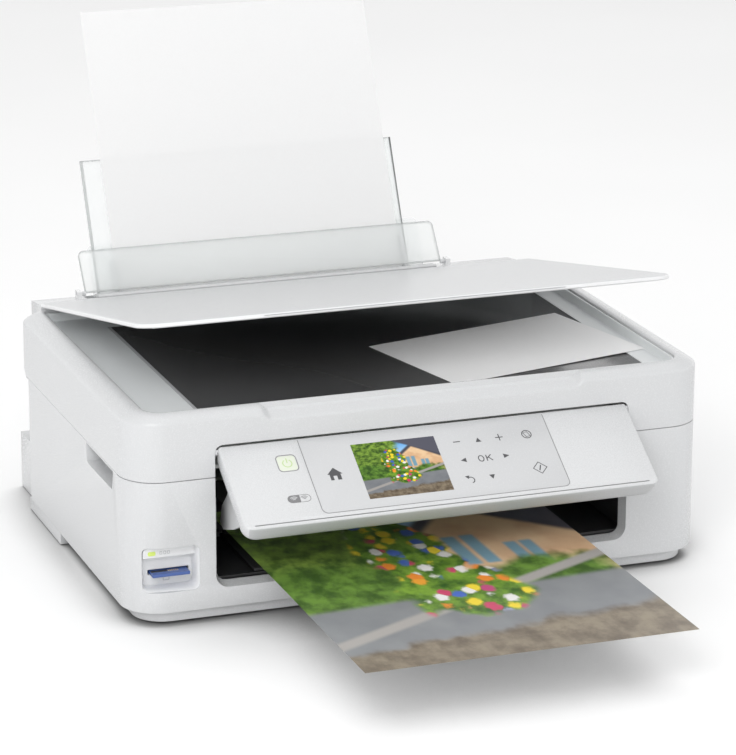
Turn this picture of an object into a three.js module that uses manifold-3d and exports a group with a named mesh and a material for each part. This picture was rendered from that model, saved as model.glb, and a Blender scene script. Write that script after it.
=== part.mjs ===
// All-in-one inkjet printer: flatbed scanner on top, rear paper feed, front output.
// Millimetres, +Z up, +X to the right seen from the front, the front faces -Y.
// Pieces are placed about the middle of the housing. The whole object is then moved in Y, so
// that its origin is in the middle of the footprint of everything, where it stands.

import * as THREE from 'three';
import { mergeVertices } from 'three/addons/utils/BufferGeometryUtils.js';
import Module from 'manifold-3d';

const wasm = await Module();
wasm.setup();

// ---- Driving dimensions ----------------------------------------------------------------

const GAP = 0.3;                 // left between pieces that touch
const WALL = 2.5;                // moulded wall thickness
const HALF_WIDTH = 195;          // housing
const FRONT_Y = -125;
const SHELL_BACK_Y = 125;        // back of the lower shell
const REAR_Y = 175;              // back of the rear feeder
const SCANNER_BACK_Y = 136;
const CORNER_R = 25;             // front corners seen from above
const REAR_CORNER_R = 8;
const SHELL_BOTTOM = 9.6;
const PAN_BOTTOM = 2.2;
const SEAM_Z = 95;               // joint between lower housing and scanner unit
const SHOULDER_Z = 133.7;        // outer edge of the top rim
const RIM_Z = 138;               // crown of the top rim
const GLASS_Z = 130;             // top face of the scanner glass

const PATH_X = -12;              // middle of the paper path
const SHEET_T = 0.3;
const A4 = { width: 210, length: 297 };

const OPENING = { halfWidth: 139.4, innerHalfWidth: 136.8, sill: 24.8, top: 116.4, bevel: 2.6 };
const CARD_BAY = { x0: -186, x1: -150, z0: 23, z1: 52.5 };
const HAND_HOLD = { y0: -90, y1: -27.5, z0: 81.3 };

const PANEL = { halfWidth: 137.3, length: 67, thickness: 12, top: 1.2, face: 2.6, tilt: 57.5 };
const PANEL_PIVOT = { y: -123.9, z: 111.7 };

const LID = { halfWidth: 180, length: 252, thickness: 3, lift: 1.8, open: 11.7 };
const LID_PIVOT = { y: 138.5, z: 136.5 };
const SCANNER_PIVOT = { y: 141, z: 129 };

const FEED_TILT = 25.24;         // the loaded sheet leans back this far from upright
const FEED_FOOT = { y: 126.4, z: 48 };
const GUARD = { x0: -143, x1: 119, length: 31.4, lean: 37, thickness: 2 };
const GUARD_PIVOT = { y: 159, z: 139.6 };

const OUTPUT_SHEET_Z = 41.2;
const OUTPUT_SHEET_FRONT = -336;
const ROLLER_Z = 35.7;
const LINE_FEED_Y = 38;
const EXIT_Y = -50;

const KEY = { size: 9, depth: 6, powerSize: 12 };
const KEYS = [
  { name: 'home_key', x: -70, v: 31 },
  { name: 'minus_key', x: 15.5, v: 16.5 },
  { name: 'up_key', x: 29.9, v: 16.8 },
  { name: 'plus_key', x: 44.2, v: 16.5 },
  { name: 'stop_key', x: 63, v: 16.5 },
  { name: 'left_key', x: 15.5, v: 31.7 },
  { name: 'ok_key', x: 29.9, v: 31.8 },
  { name: 'right_key', x: 44.2, v: 31.8 },
  { name: 'back_key', x: 15.5, v: 47.2 },
  { name: 'down_key', x: 29.9, v: 47 },
  { name: 'start_key', x: 63, v: 44.3 },
];
const POWER_KEY = { x: -97.5, v: 18.7 };
const LCD = { x0: -53.6, x1: 2, v0: 9.7, v1: 53.8 };

const radians = THREE.MathUtils.degToRad;

// ---- Materials -------------------------------------------------------------------------

function material(color, roughness, metalness = 0) {
  return new THREE.MeshStandardMaterial({ color, roughness, metalness });
}

const WHITE = material(0xe9eaec, 0.35);
const PAD_WHITE = material(0xf4f4f4, 0.8);
const PALE_GREY = material(0xa8adae, 0.5);
const BLACK = material(0x17181a, 0.5);
const DARK_GREY = material(0x3a3c3f, 0.55);
const GLASS = material(0x23262a, 0.08);
const CLEAR = material(0xe3e9e8, 0.25);
const STEEL = material(0x9fa3a6, 0.35, 0.9);
const RUBBER = material(0x242424, 0.9);
const BOARD_GREEN = material(0x1f5a3a, 0.6);
const PAPER = material(0xf6f6f4, 0.9);
const PRINT = material(0x6d7f63, 0.4);
const CARD_BLUE = material(0x3c4fa3, 0.4);
const GREEN_TINT = material(0xe3efcf, 0.4);
const INK_COLOURS = {
  black: material(0x1b1b1d, 0.4),
  cyan: material(0x2a9fd0, 0.4),
  magenta: material(0xc9357f, 0.4),
  yellow: material(0xe8c93a, 0.4),
};

// ---- Solids ----------------------------------------------------------------------------

function toSolid(geometry) {
  const bare = geometry.clone();
  bare.deleteAttribute('normal');
  bare.deleteAttribute('uv');
  const merged = mergeVertices(bare, 1e-4);
  return new wasm.Manifold(new wasm.Mesh({
    numProp: 3,
    vertProperties: new Float32Array(merged.attributes.position.array),
    triVerts: new Uint32Array(merged.index.array),
  }));
}

function toGeometry(solid) {
  const mesh = solid.getMesh();
  const geometry = new THREE.BufferGeometry();
  geometry.setAttribute('position', new THREE.BufferAttribute(mesh.vertProperties, 3));
  geometry.setIndex(new THREE.BufferAttribute(mesh.triVerts, 1));
  geometry.computeVertexNormals();
  return geometry;
}

// Joins the first list of geometries and cuts the second list away.
function build(added, removed = []) {
  let solid = toSolid(added[0]);
  for (const piece of added.slice(1)) {
    solid = solid.add(toSolid(piece));
  }
  for (const piece of removed) {
    solid = solid.subtract(toSolid(piece));
  }
  return toGeometry(solid);
}

function box(x0, x1, y0, y1, z0, z1) {
  const geometry = new THREE.BoxGeometry(x1 - x0, y1 - y0, z1 - z0);
  geometry.translate((x0 + x1) / 2, (y0 + y1) / 2, (z0 + z1) / 2);
  return geometry;
}

// The same box on the left and on the right, at x0 to x1 from the middle.
function pair(x0, x1, y0, y1, z0, z1) {
  return [box(x0, x1, y0, y1, z0, z1), box(-x1, -x0, y0, y1, z0, z1)];
}

// A cylinder along X, Y or Z from one end to the other; a and b are its centre across.
function rod(axis, from, to, a, b, radius, sides = 16) {
  const geometry = new THREE.CylinderGeometry(radius, radius, to - from, sides);
  const middle = (from + to) / 2;
  if (axis === 'x') {
    geometry.rotateZ(Math.PI / 2);
    geometry.translate(middle, a, b);
  } else if (axis === 'y') {
    geometry.translate(a, middle, b);
  } else {
    geometry.rotateX(Math.PI / 2);
    geometry.translate(a, b, middle);
  }
  return geometry;
}

function outline(points) {
  return new THREE.Shape(points.map(([a, b]) => new THREE.Vector2(a, b)));
}

// A rectangle with its own radius at the low-Y and at the high-Y corners.
function roundedRect(x0, x1, y0, y1, lowR, highR, Kind = THREE.Shape) {
  const shape = new Kind();
  const quarter = Math.PI / 2;
  shape.moveTo(x0 + lowR, y0);
  shape.lineTo(x1 - lowR, y0);
  shape.absarc(x1 - lowR, y0 + lowR, lowR, -quarter, 0);
  shape.lineTo(x1, y1 - highR);
  shape.absarc(x1 - highR, y1 - highR, highR, 0, quarter);
  shape.lineTo(x0 + highR, y1);
  shape.absarc(x0 + highR, y1 - highR, highR, quarter, 2 * quarter);
  shape.lineTo(x0, y0 + lowR);
  shape.absarc(x0 + lowR, y0 + lowR, lowR, 2 * quarter, 3 * quarter);
  return shape;
}

function extrude(shape, depth, curveSegments = 6) {
  return new THREE.ExtrudeGeometry(shape, { depth, bevelEnabled: false, curveSegments });
}

// Outline in X and Y, raised from z0 to z1.
function slab(shape, z0, z1, curveSegments) {
  const geometry = extrude(shape, z1 - z0, curveSegments);
  geometry.translate(0, 0, z0);
  return geometry;
}

// Outline in Y and Z, swept along X from x0 to x1.
function sweepX(shape, x0, x1, curveSegments) {
  const geometry = extrude(shape, x1 - x0, curveSegments);
  const turn = new THREE.Matrix4().set(0, 0, 1, x0, 1, 0, 0, 0, 0, 1, 0, 0, 0, 0, 0, 1);
  geometry.applyMatrix4(turn);
  return geometry;
}

// Outline in X and Z, swept along Y from y0 to y1.
function sweepY(shape, y0, y1, curveSegments) {
  const geometry = extrude(shape, y1 - y0, curveSegments);
  geometry.rotateX(Math.PI / 2);
  geometry.translate(0, y1, 0);
  return geometry;
}

// ---- The assembly ----------------------------------------------------------------------

const printer = new THREE.Group();

function piece(name, geometry, look, parent = printer) {
  const mesh = new THREE.Mesh(geometry, look);
  mesh.name = name;
  parent.add(mesh);
  return mesh;
}

// A group whose own origin is on a pivot line, turned about X by an angle in degrees.
function pivotGroup(pivot, angle, parent = printer) {
  const group = new THREE.Group();
  group.position.set(0, pivot.y, pivot.z);
  group.rotation.x = radians(angle);
  parent.add(group);
  return group;
}

// ---- Base: pan, shell, rear feeder -----------------------------------------------------

function addBasePan() {
  const inset = 4.5;
  const sideInset = 7.5;
  const plan = roundedRect(-HALF_WIDTH + sideInset, HALF_WIDTH - sideInset, FRONT_Y + inset,
    SHELL_BACK_Y - inset, CORNER_R - inset, REAR_CORNER_R - inset);
  const skirt = (side) => box(side * 187 - 7.4, side * 187 + 7.4, 45, 124, 0.8, SHELL_BOTTOM - GAP);
  const foot = (side) => rod('z', 0, PAN_BOTTOM + 1, side * 170, 98, 8);
  const recess = (side) => rod('z', PAN_BOTTOM - 1, 6, side * 165, -92, 9.5);
  piece('base_pan', build(
    [slab(plan, PAN_BOTTOM, SHELL_BOTTOM - 0.9), skirt(1), skirt(-1), foot(1), foot(-1)],
    [recess(1), recess(-1)],
  ), WHITE);
  piece('front_foot_left', rod('z', 0, 5.7, -165, -92, 8), RUBBER);
  piece('front_foot_right', rod('z', 0, 5.7, 165, -92, 8), RUBBER);
}

function addLowerHousing() {
  const top = SEAM_Z - 0.15;
  const plan = roundedRect(-HALF_WIDTH, HALF_WIDTH, FRONT_Y, SHELL_BACK_Y, CORNER_R, REAR_CORNER_R);
  plan.holes.push(roundedRect(-HALF_WIDTH + WALL, HALF_WIDTH - WALL, FRONT_Y + WALL,
    SHELL_BACK_Y - WALL, CORNER_R - WALL, REAR_CORNER_R - WALL, THREE.Path));
  const shell = slab(plan, SHELL_BOTTOM, top, 7);
  const mouthFrame = box(-146, 146, FRONT_Y + 2, -118, 14, top);
  const handHoldBlocks = pair(181, 194, HAND_HOLD.y0 - 6, HAND_HOLD.y1 + 6, 76, top);
  const panelArms = [
    ...pair(137.7, 139.1, -117, -110, 84, PANEL_PIVOT.z + 1),
    ...pair(137.7, 139.1, FRONT_Y + 0.4, -116, PANEL_PIVOT.z - 2.4, PANEL_PIVOT.z + 1),
  ];
  const armRoots = pair(137.7, 144, -117, -110, 84, top - 0.5);
  const pins = [
    rod('x', 135, 138.5, PANEL_PIVOT.y, PANEL_PIVOT.z, 1.1, 12),
    rod('x', -138.5, -135, PANEL_PIVOT.y, PANEL_PIVOT.z, 1.1, 12),
  ];
  const jambs = pair(139.4, 146, -119, -110, 84, top - 0.5);
  const mouth = new THREE.ExtrudeGeometry(
    roundedRect(-OPENING.innerHalfWidth, OPENING.innerHalfWidth, OPENING.sill, 150, 6, 1),
    {
      depth: 10, bevelEnabled: true, bevelThickness: 6.9, bevelSize: OPENING.bevel,
      bevelSegments: 1, curveSegments: 6,
    },
  );
  mouth.rotateX(Math.PI / 2);
  mouth.translate(0, -124.8, 0);
  const mouthUpper = box(-OPENING.halfWidth, OPENING.halfWidth, FRONT_Y - 1, -117.9, 80, 100);
  const cardTub = slab(outline([
    [-188.3, -109], [-188.3, -117], [-184, -120.6], [-178, -123.2], [-171, -124.4],
    [-147.8, -124.4], [-147.8, -109],
  ]), CARD_BAY.z0 - 2.3, CARD_BAY.z1 + 2.3);
  const cardBay = sweepY(roundedRect(CARD_BAY.x0, CARD_BAY.x1, CARD_BAY.z0, CARD_BAY.z1, 4, 4),
    FRONT_Y - 1, -108, 3);
  const holdSide = outline([
    [HAND_HOLD.y0, 97], [HAND_HOLD.y0 + 3, HAND_HOLD.z0], [HAND_HOLD.y1 - 4, HAND_HOLD.z0],
    [HAND_HOLD.y1 - 1.2, HAND_HOLD.z0 + 1.2], [HAND_HOLD.y1, HAND_HOLD.z0 + 4], [HAND_HOLD.y1, 97],
  ]);
  const handHolds = [sweepX(holdSide, 185, 196), sweepX(holdSide, -196, -185)];
  const backWindow = box(-172, 172, SHELL_BACK_Y - 4, SHELL_BACK_Y + 1, 36, 96);
  const backWindowLow = box(-180, 180, SHELL_BACK_Y - 4, SHELL_BACK_Y + 1, 8, 37);
  const bare = build([shell, mouthFrame, cardTub, ...handHoldBlocks],
    [mouth, mouthUpper, cardBay, ...handHolds, backWindow, backWindowLow]);
  piece('lower_housing', build([bare, ...jambs, ...armRoots, ...panelArms, ...pins]), WHITE);
}

function addOutputLiner() {
  const floor = box(-142, 142, -117, -45, 24.9, 26.9);
  const sides = pair(140, 142, -117, -62, 24.9, 83);
  piece('output_liner', build([floor, ...sides]), BLACK);
}

// Y of the loaded sheet's middle plane at height z.
function feedY(z) {
  return FEED_FOOT.y + (z - FEED_FOOT.z) * Math.tan(radians(FEED_TILT));
}

function addRearHousing() {
  const z0 = 0.8;
  const main = box(-177, 177, SHELL_BACK_Y + GAP, REAR_Y, z0, 94);
  const upper = sweepX(outline([
    [SCANNER_BACK_Y + 1.5, 93], [REAR_Y, 93], [REAR_Y, 133.4], [150, 137],
    [SCANNER_BACK_Y + 1.5, 137],
  ]), -177, 177);
  const skirt = box(-187, 187, SHELL_BACK_Y + GAP, REAR_Y, z0, 40);
  const inner = box(-174.5, 174.5, 120, REAR_Y - WALL, 4.5, 132.5);
  const innerSkirt = box(-184.5, 184.5, 120, REAR_Y - WALL, 4.5, 37.5);
  const stripFront = box(-180, 180, 130, 148.5, 94.5, 140);
  const slot = box(-141, 117, 160.2, REAR_Y - WALL, 130, 140);
  const coverWindow = box(-120, 100, REAR_Y - 4, REAR_Y + 1, 20, 95);
  const inletWindow = box(-160, -136, REAR_Y - 4, REAR_Y + 1, 13, 33);
  const usbWindow = box(152, 179, REAR_Y - 4, REAR_Y + 1, 11, 27);
  const restPoint = (z, offset) => [feedY(z) + offset, z];
  const paperRest = sweepX(outline([
    restPoint(50, 4.6), restPoint(50, 6.9), restPoint(126, 6.9), restPoint(126, 4.6),
  ]), -176, 176);
  const rollerBrackets = pair(151, 153.5, 114, 150, 70, 85);
  const rollerBores = [
    rod('x', 140, 160, 122, 77.7, 4.4),
    rod('x', -160, -140, 122, 77.7, 4.4),
  ];
  const hingeRibs = pair(158, 160.5, 138, 174, 118, 132.6);
  const hingePins = [
    rod('x', 151, 159, SCANNER_PIVOT.y, SCANNER_PIVOT.z, 2.4),
    rod('x', -159, -151, SCANNER_PIVOT.y, SCANNER_PIVOT.z, 2.4),
  ];
  const guardEars = [
    box(-149, -146, GUARD_PIVOT.y - 4, GUARD_PIVOT.y + 4, 133, 141.8),
    box(122, 125, GUARD_PIVOT.y - 4, GUARD_PIVOT.y + 4, 133, 141.8),
  ];
  const guardBores = [
    rod('x', -150, -140, GUARD_PIVOT.y, GUARD_PIVOT.z, 1.9),
    rod('x', 118, 130, GUARD_PIVOT.y, GUARD_PIVOT.z, 1.9),
  ];
  const shell = build([main, upper, skirt],
    [inner, innerSkirt, stripFront, slot, coverWindow, inletWindow, usbWindow]);
  const fitted = build([shell, paperRest, ...rollerBrackets, ...hingeRibs, ...guardEars],
    [...rollerBores, ...guardBores]);
  piece('rear_housing', build([fitted, ...hingePins]), WHITE);

  const coverGrip = box(-25, 5, REAR_Y - 2, REAR_Y + 2, 84, 92);
  piece('rear_cover', build([
    box(-119.6, 99.6, REAR_Y - 4, REAR_Y, 20.4, 94.6),
    box(-110, 90, REAR_Y - 12, REAR_Y - 3, 30, 86),
  ], [coverGrip, box(-107, 87, REAR_Y - 13, REAR_Y - 4, 33, 83)]), WHITE);
}

// ---- Print mechanism -------------------------------------------------------------------

function addChassis() {
  const backPlate = box(-160, 165, 56, 57.5, 12, 92);
  const ears = [box(-160, -158.5, -62, 57, 12, 42), box(163.5, 165, -62, 57, 12, 42)];
  const feet = [box(-160, -146, -62, 57, 9.1, 13), box(152, 165, -62, 57, 9.1, 13)];
  const idlerPost = rod('y', 49.8, 57, 150, 72, 6);
  const paperWindow = box(-130, 106, 50, 60, 32, 54);
  const shaftBores = [
    rod('x', -170, 170, LINE_FEED_Y, ROLLER_Z, 3.5),
    rod('x', -170, 170, EXIT_Y, ROLLER_Z, 3.5),
    rod('x', -165, -150, 16.2, 25.7, 2),
    rod('y', 50, 60, -148, 72, 2.4),
  ];
  piece('chassis_plate', build([backPlate, ...ears, ...feet, idlerPost],
    [paperWindow, ...shaftBores]), STEEL);
}

function addPlaten() {
  const ribs = [];
  for (let x = -122; x <= 80; x += 20) {
    ribs.push(box(x - 1, x + 1, -34, 28, 38, 40.7));
  }
  piece('platen', build([box(-128, 94.5, -36, 29, 31, 39), ...ribs]), DARK_GREY);
}

function gear(teeth, module, width, x0, y, z, phase = 0) {
  const pitchR = (teeth * module) / 2;
  const rootR = pitchR - 1.15 * module;
  const tipR = pitchR + 0.75 * module;
  const shape = new THREE.Shape();
  const step = (2 * Math.PI) / teeth;
  const corners = [[-0.27, rootR], [-0.12, tipR], [0.12, tipR], [0.27, rootR]];
  for (let tooth = 0; tooth < teeth; tooth += 1) {
    corners.forEach(([share, radius], index) => {
      const angle = (tooth + share + phase) * step;
      const point = [radius * Math.cos(angle), radius * Math.sin(angle)];
      if (tooth === 0 && index === 0) {
        shape.moveTo(...point);
      } else {
        shape.lineTo(...point);
      }
    });
  }
  const geometry = sweepX(shape, x0, x0 + width);
  geometry.translate(0, y, z);
  return geometry;
}

const FEED_GEAR = { teeth: 36, module: 1, x0: -172, width: 5 };
const FEED_PINION = { teeth: 12, y: 16.2, z: 25.7 };

function addRollers() {
  const lineFeed = [
    rod('x', -173, 168, LINE_FEED_Y, ROLLER_Z, 3, 12),
    rod('x', -150, 158, LINE_FEED_Y, ROLLER_Z, 5.2, 20),
    gear(FEED_GEAR.teeth, FEED_GEAR.module, FEED_GEAR.width, FEED_GEAR.x0, LINE_FEED_Y, ROLLER_Z,
      pinionAngle() / ((2 * Math.PI) / FEED_GEAR.teeth)),
    rod('x', 166.2, 171, LINE_FEED_Y, ROLLER_Z, 7),
  ];
  piece('line_feed_roller', build(lineFeed), STEEL);

  const exit = [
    rod('x', -161, 171, EXIT_Y, ROLLER_Z, 3, 12),
    rod('x', 166.2, 171, EXIT_Y, ROLLER_Z, 7),
  ];
  for (let x = -104; x <= 80; x += 46) {
    exit.push(rod('x', x - 7, x + 7, EXIT_Y, ROLLER_Z, 5.2));
  }
  piece('exit_roller', build(exit), RUBBER);

  const pickup = [
    rod('x', -156, 156, 122, 77.7, 4, 12),
    rod('x', PATH_X - 22, PATH_X + 22, 122, 77.7, 15.8, 28),
    rod('x', PATH_X - 92, PATH_X - 84, 122, 77.7, 15, 24),
    rod('x', PATH_X + 84, PATH_X + 92, 122, 77.7, 15, 24),
  ];
  piece('pickup_roller', build(pickup), RUBBER);
}

// Direction from the line-feed shaft to the pinion, as an angle from +Y towards +Z.
function pinionAngle() {
  return Math.atan2(FEED_PINION.z - ROLLER_Z, FEED_PINION.y - LINE_FEED_Y);
}

function addFeedDrive() {
  const toothGap = Math.PI / FEED_PINION.teeth;
  const phase = (pinionAngle() + Math.PI + toothGap) / (2 * toothGap);
  piece('feed_pinion', build([
    gear(FEED_PINION.teeth, FEED_GEAR.module, 5, FEED_GEAR.x0, FEED_PINION.y, FEED_PINION.z, phase),
    rod('x', -168, -157.6, FEED_PINION.y, FEED_PINION.z, 1.5, 12),
  ]), BLACK);
  piece('feed_motor', build([
    rod('x', -157.2, -132, FEED_PINION.y, FEED_PINION.z, 12, 24),
    box(-145, -133, FEED_PINION.y - 8, FEED_PINION.y + 8, 9.2, 20),
  ]), STEEL);
  const beltOuter = stadium(EXIT_Y, LINE_FEED_Y, ROLLER_Z, 8.6, THREE.Shape);
  beltOuter.holes.push(stadium(EXIT_Y, LINE_FEED_Y, ROLLER_Z, 7.3, THREE.Path));
  piece('feed_belt', sweepX(beltOuter, 166.6, 170.6, 8), RUBBER);
}

// A long rounded loop around two centres on one level.
function stadium(a0, a1, b, radius, Kind) {
  const loop = new Kind();
  const quarter = Math.PI / 2;
  loop.moveTo(a0, b - radius);
  loop.lineTo(a1, b - radius);
  loop.absarc(a1, b, radius, -quarter, quarter);
  loop.lineTo(a0, b + radius);
  loop.absarc(a0, b, radius, quarter, 3 * quarter);
  return loop;
}

function addCarriageDrive() {
  piece('carriage_motor', build([
    rod('y', 58, 80, -148, 72, 12, 24),
    box(-150, -146, 60, 76, 9.2, 62),
  ]), STEEL);
  piece('carriage_pulley', build([
    rod('y', 49.8, 55.4, -148, 72, 6, 20),
    rod('y', 49, 57.7, -148, 72, 2, 12),
  ]), BLACK);
  const belt = stadium(-148, 150, 72, 7.7, THREE.Shape);
  belt.holes.push(stadium(-148, 150, 72, 6.4, THREE.Path));
  piece('carriage_belt', sweepY(belt, 50.6, 54.6, 8), RUBBER);
}

const CARRIAGE = { x0: 86, x1: 162, y0: -24, y1: 46, z0: 44, z1: 80 };

function addCarriage() {
  const wall = 2;
  const pocket = box(CARRIAGE.x0 + wall, CARRIAGE.x1 - wall, CARRIAGE.y0 + wall, CARRIAGE.y1 - wall,
    CARRIAGE.z0 + 3, CARRIAGE.z1 + 5);
  const nozzlePlate = box(104, 144, -14, 20, 42.3, 46);
  const beltClamp = box(118, 130, 45, 49, 62, 70);
  piece('print_carriage', build([
    box(CARRIAGE.x0, CARRIAGE.x1, CARRIAGE.y0, CARRIAGE.y1, CARRIAGE.z0, CARRIAGE.z1),
    nozzlePlate, beltClamp,
  ], [pocket]), BLACK);
  const pitch = (CARRIAGE.x1 - CARRIAGE.x0 - 2 * wall) / 4;
  Object.entries(INK_COLOURS).forEach(([colour, look], index) => {
    const x0 = CARRIAGE.x0 + wall + index * pitch + 0.4;
    const side = outline([
      [CARRIAGE.y0 + 2.6, 47.4], [CARRIAGE.y1 - 2.6, 47.4], [CARRIAGE.y1 - 2.6, 88],
      [CARRIAGE.y0 + 12, 91], [CARRIAGE.y0 + 2.6, 84],
    ]);
    piece(`${colour}_ink_cartridge`, sweepX(side, x0, x0 + pitch - 0.8), look);
  });
}

function addBaseFittings() {
  piece('capping_station', build([
    box(100, 150, -22, 29, 9.2, 36),
    box(103, 145, -16, 22, 35, 41.8),
  ], [box(106, 142, -13, 19, 37, 43)]), DARK_GREY);
  piece('main_board', build([
    box(176, 177.6, -60, 118, 15, 72),
    box(176, 177.6, 100, 165, 12, 31),
    box(154, 177, 150, REAR_Y - 0.6, 12.5, 25.5),
  ], [box(157, 167, 160, REAR_Y + 1, 14.5, 23.5)]), BOARD_GREEN);
  piece('power_supply', build([
    box(-172, -112, 84, 150, 9.3, 44),
    box(-158.6, -137.4, 148, REAR_Y - 0.6, 14.5, 31.5),
  ], [box(-155.5, -140.5, 158, REAR_Y + 1, 18, 28)]), BLACK);
  piece('card_reader', build([
    box(-187, -149, -107, -84, 21, 55),
    box(-184.6, -151.4, -113, -106, 24.4, 51.1),
    box(-184.6, -151.4, -118.6, -112, 44.5, 51.1),
  ], [box(-180.6, -153.8, -114, -87, 31.8, 35.2)]), WHITE);
  piece('memory_card', box(-179.3, -155.1, -121, -89, 32.2, 34.3), CARD_BLUE);
}

// ---- Output tray and sheets ------------------------------------------------------------

function addOutputTray() {
  const grip = box(PATH_X - 20, PATH_X + 20, -118, -110, 27, 30);
  piece('tray_base', build([box(PATH_X - 100, PATH_X + 100, -117, -45, 27.3, 29.3)], [grip]), BLACK);
  const stopperWell = box(PATH_X - 31, PATH_X + 31, -116, -104.4, 29, 33);
  piece('tray_extension', build([box(PATH_X - 90, PATH_X + 90, -117, -57, 29.6, 31.8)],
    [stopperWell]), BLACK);
  piece('tray_stopper', box(PATH_X - 30, PATH_X + 30, -115.6, -106, 29.9, 31.5), BLACK);
}

function addSheets() {
  piece('printed_sheet', box(PATH_X - A4.width / 2, PATH_X + A4.width / 2, OUTPUT_SHEET_FRONT,
    OUTPUT_SHEET_FRONT + A4.length, OUTPUT_SHEET_Z, OUTPUT_SHEET_Z + SHEET_T), PRINT);

  const photo = piece('original_sheet', box(-76, 76, -51, 51, 0, SHEET_T), PAPER);
  photo.position.set(93, -31, GLASS_Z + GAP);
  photo.rotation.z = radians(13.1);

  const feed = feedGroup();
  piece('feed_sheet', box(-A4.width / 2, A4.width / 2, -SHEET_T / 2, SHEET_T / 2, 0, A4.length),
    PAPER, feed);
}

// Local Z runs up along the loaded sheet from its lower edge, local Y points away behind it.
function feedGroup() {
  const group = pivotGroup(FEED_FOOT, -FEED_TILT);
  group.position.x = PATH_X;
  return group;
}

function addFeedParts() {
  const feed = feedGroup();
  piece('paper_support', box(-122, 122, 2.2, 3.4, 62, 132), CLEAR, feed);
  const ribs = [box(-119.5, -117.5, 0.4, 1, 70, 191.6), box(108.5, 110.5, 0.4, 1, 70, 191.6)];
  piece('support_extension', build([box(-119.5, 110.5, 0.7, 1.9, 70, 191.6), ...ribs]), CLEAR,
    feed);
  const guideSide = outline([[0, 62], [0, 120], [-2.2, 120], [-5.4, 98], [-5.4, 62]]);
  const guide = (x0, x1) => sweepX(guideSide, x0, x1);
  piece('edge_guide_left', guide(-108.2, -105.4), WHITE, feed);
  piece('edge_guide_right', guide(105.4, 108.2), WHITE, feed);

  const guard = pivotGroup(GUARD_PIVOT, -GUARD.lean);
  const plate = box(GUARD.x0, GUARD.x1, -1, GUARD.thickness - 1, 0, GUARD.length);
  const pins = [
    rod('x', GUARD.x0 - 5.6, GUARD.x0 + 4, 0, 0, 1.6, 12),
    rod('x', GUARD.x1 - 4, GUARD.x1 + 5.6, 0, 0, 1.6, 12),
  ];
  piece('feeder_guard', build([plate, ...pins]), CLEAR, guard);
}

// ---- Scanner unit and lid --------------------------------------------------------------

function addScanner() {
  const bottom = SEAM_Z + 0.3;
  const wallPlan = roundedRect(-HALF_WIDTH, HALF_WIDTH, FRONT_Y, SCANNER_BACK_Y, CORNER_R, REAR_CORNER_R);
  wallPlan.holes.push(roundedRect(-HALF_WIDTH + WALL, HALF_WIDTH - WALL, FRONT_Y + WALL,
    SCANNER_BACK_Y - WALL, CORNER_R - WALL, REAR_CORNER_R - WALL, THREE.Path));
  const rimStep = (inset, z0, z1) => {
    const plan = roundedRect(-HALF_WIDTH + inset, HALF_WIDTH - inset, FRONT_Y + inset,
      SCANNER_BACK_Y - inset, CORNER_R - inset, REAR_CORNER_R);
    return slab(plan, z0, z1, 7);
  };
  const rim = [rimStep(0, 130.5, SHOULDER_Z), rimStep(2.5, 133.5, 135.6), rimStep(6, 135.4, RIM_Z - 0.8),
    rimStep(9, 137, RIM_Z)];
  const bed = slab(roundedRect(-179.5, 179.5, -115, 131.5, 12, 4), 129, 140, 7);
  const lidEars = [];
  const lidBores = [];
  for (const x of [-143.5, -119.5, 116.5, 140.5]) {
    lidEars.push(box(x, x + 3, 132, 140.8, 133, 138.8));
    lidBores.push(rod('x', x - 1, x + 4, LID_PIVOT.y, LID_PIVOT.z, 1.8, 12));
  }
  const lugs = pair(151.5, 157.5, 134, 145, 124.6, 133.2);
  const lugBores = [
    rod('x', 148, 158, SCANNER_PIVOT.y, SCANNER_PIVOT.z, 2.8),
    rod('x', -158, -148, SCANNER_PIVOT.y, SCANNER_PIVOT.z, 2.8),
  ];
  const panelCut = sweepY(roundedRect(-OPENING.halfWidth, OPENING.halfWidth, 90, OPENING.top, 1, 5),
    FRONT_Y - 1, -120, 4);
  const notch = sweepX(outline([
    [FRONT_Y - 1, 127.9], [-116.8, 133.6], [-116.3, RIM_Z + 1], [FRONT_Y - 1, RIM_Z + 1],
  ]), -104.5, 104.5);
  const lidRelief = [box(-140.3, -116.7, 134, 138, 132.5, 139), box(119.7, 140.3, 134, 138, 132.5, 139)];
  piece('scanner_bezel', build([slab(wallPlan, bottom, SHOULDER_Z, 7), ...rim, ...lidEars, ...lugs],
    [bed, ...lidBores, ...lugBores, panelCut, notch, ...lidRelief]), WHITE);

  const outer = box(-179, 179, -114.5, 131, 97, GLASS_Z);
  const pocket = box(-142.5, 142.5, -116, -102, 96, 117);
  const inner = build([box(-176.5, 176.5, -112, 128.5, 99.5, 127.2)],
    [box(-144.5, 144.5, -113, -100, 99, 119)]);
  const window = box(-142.6, 163.5, -112, 105, 126, 131);
  const shell = build([outer], [pocket, inner, window]);
  const rack = box(-150, 176, 60, 64, 99, 103);
  piece('scanner_tray', build([shell, rack]), PALE_GREY);
  piece('scanner_glass', box(-142.2, 163.1, -111.6, 104.6, GLASS_Z - 2.5, GLASS_Z), GLASS);

  const carriageSide = outline([
    [-108, 119.5], [-98, 119.5], [-98, 108], [58, 108], [58, 104], [66, 104], [66, 108],
    [108, 108], [108, 126.9], [-108, 126.9],
  ]);
  piece('scan_carriage', build([sweepX(carriageSide, -141, -122)],
    [box(-142, -120, 59.5, 64.5, 98, 103.6)]), DARK_GREY);
}

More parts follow.
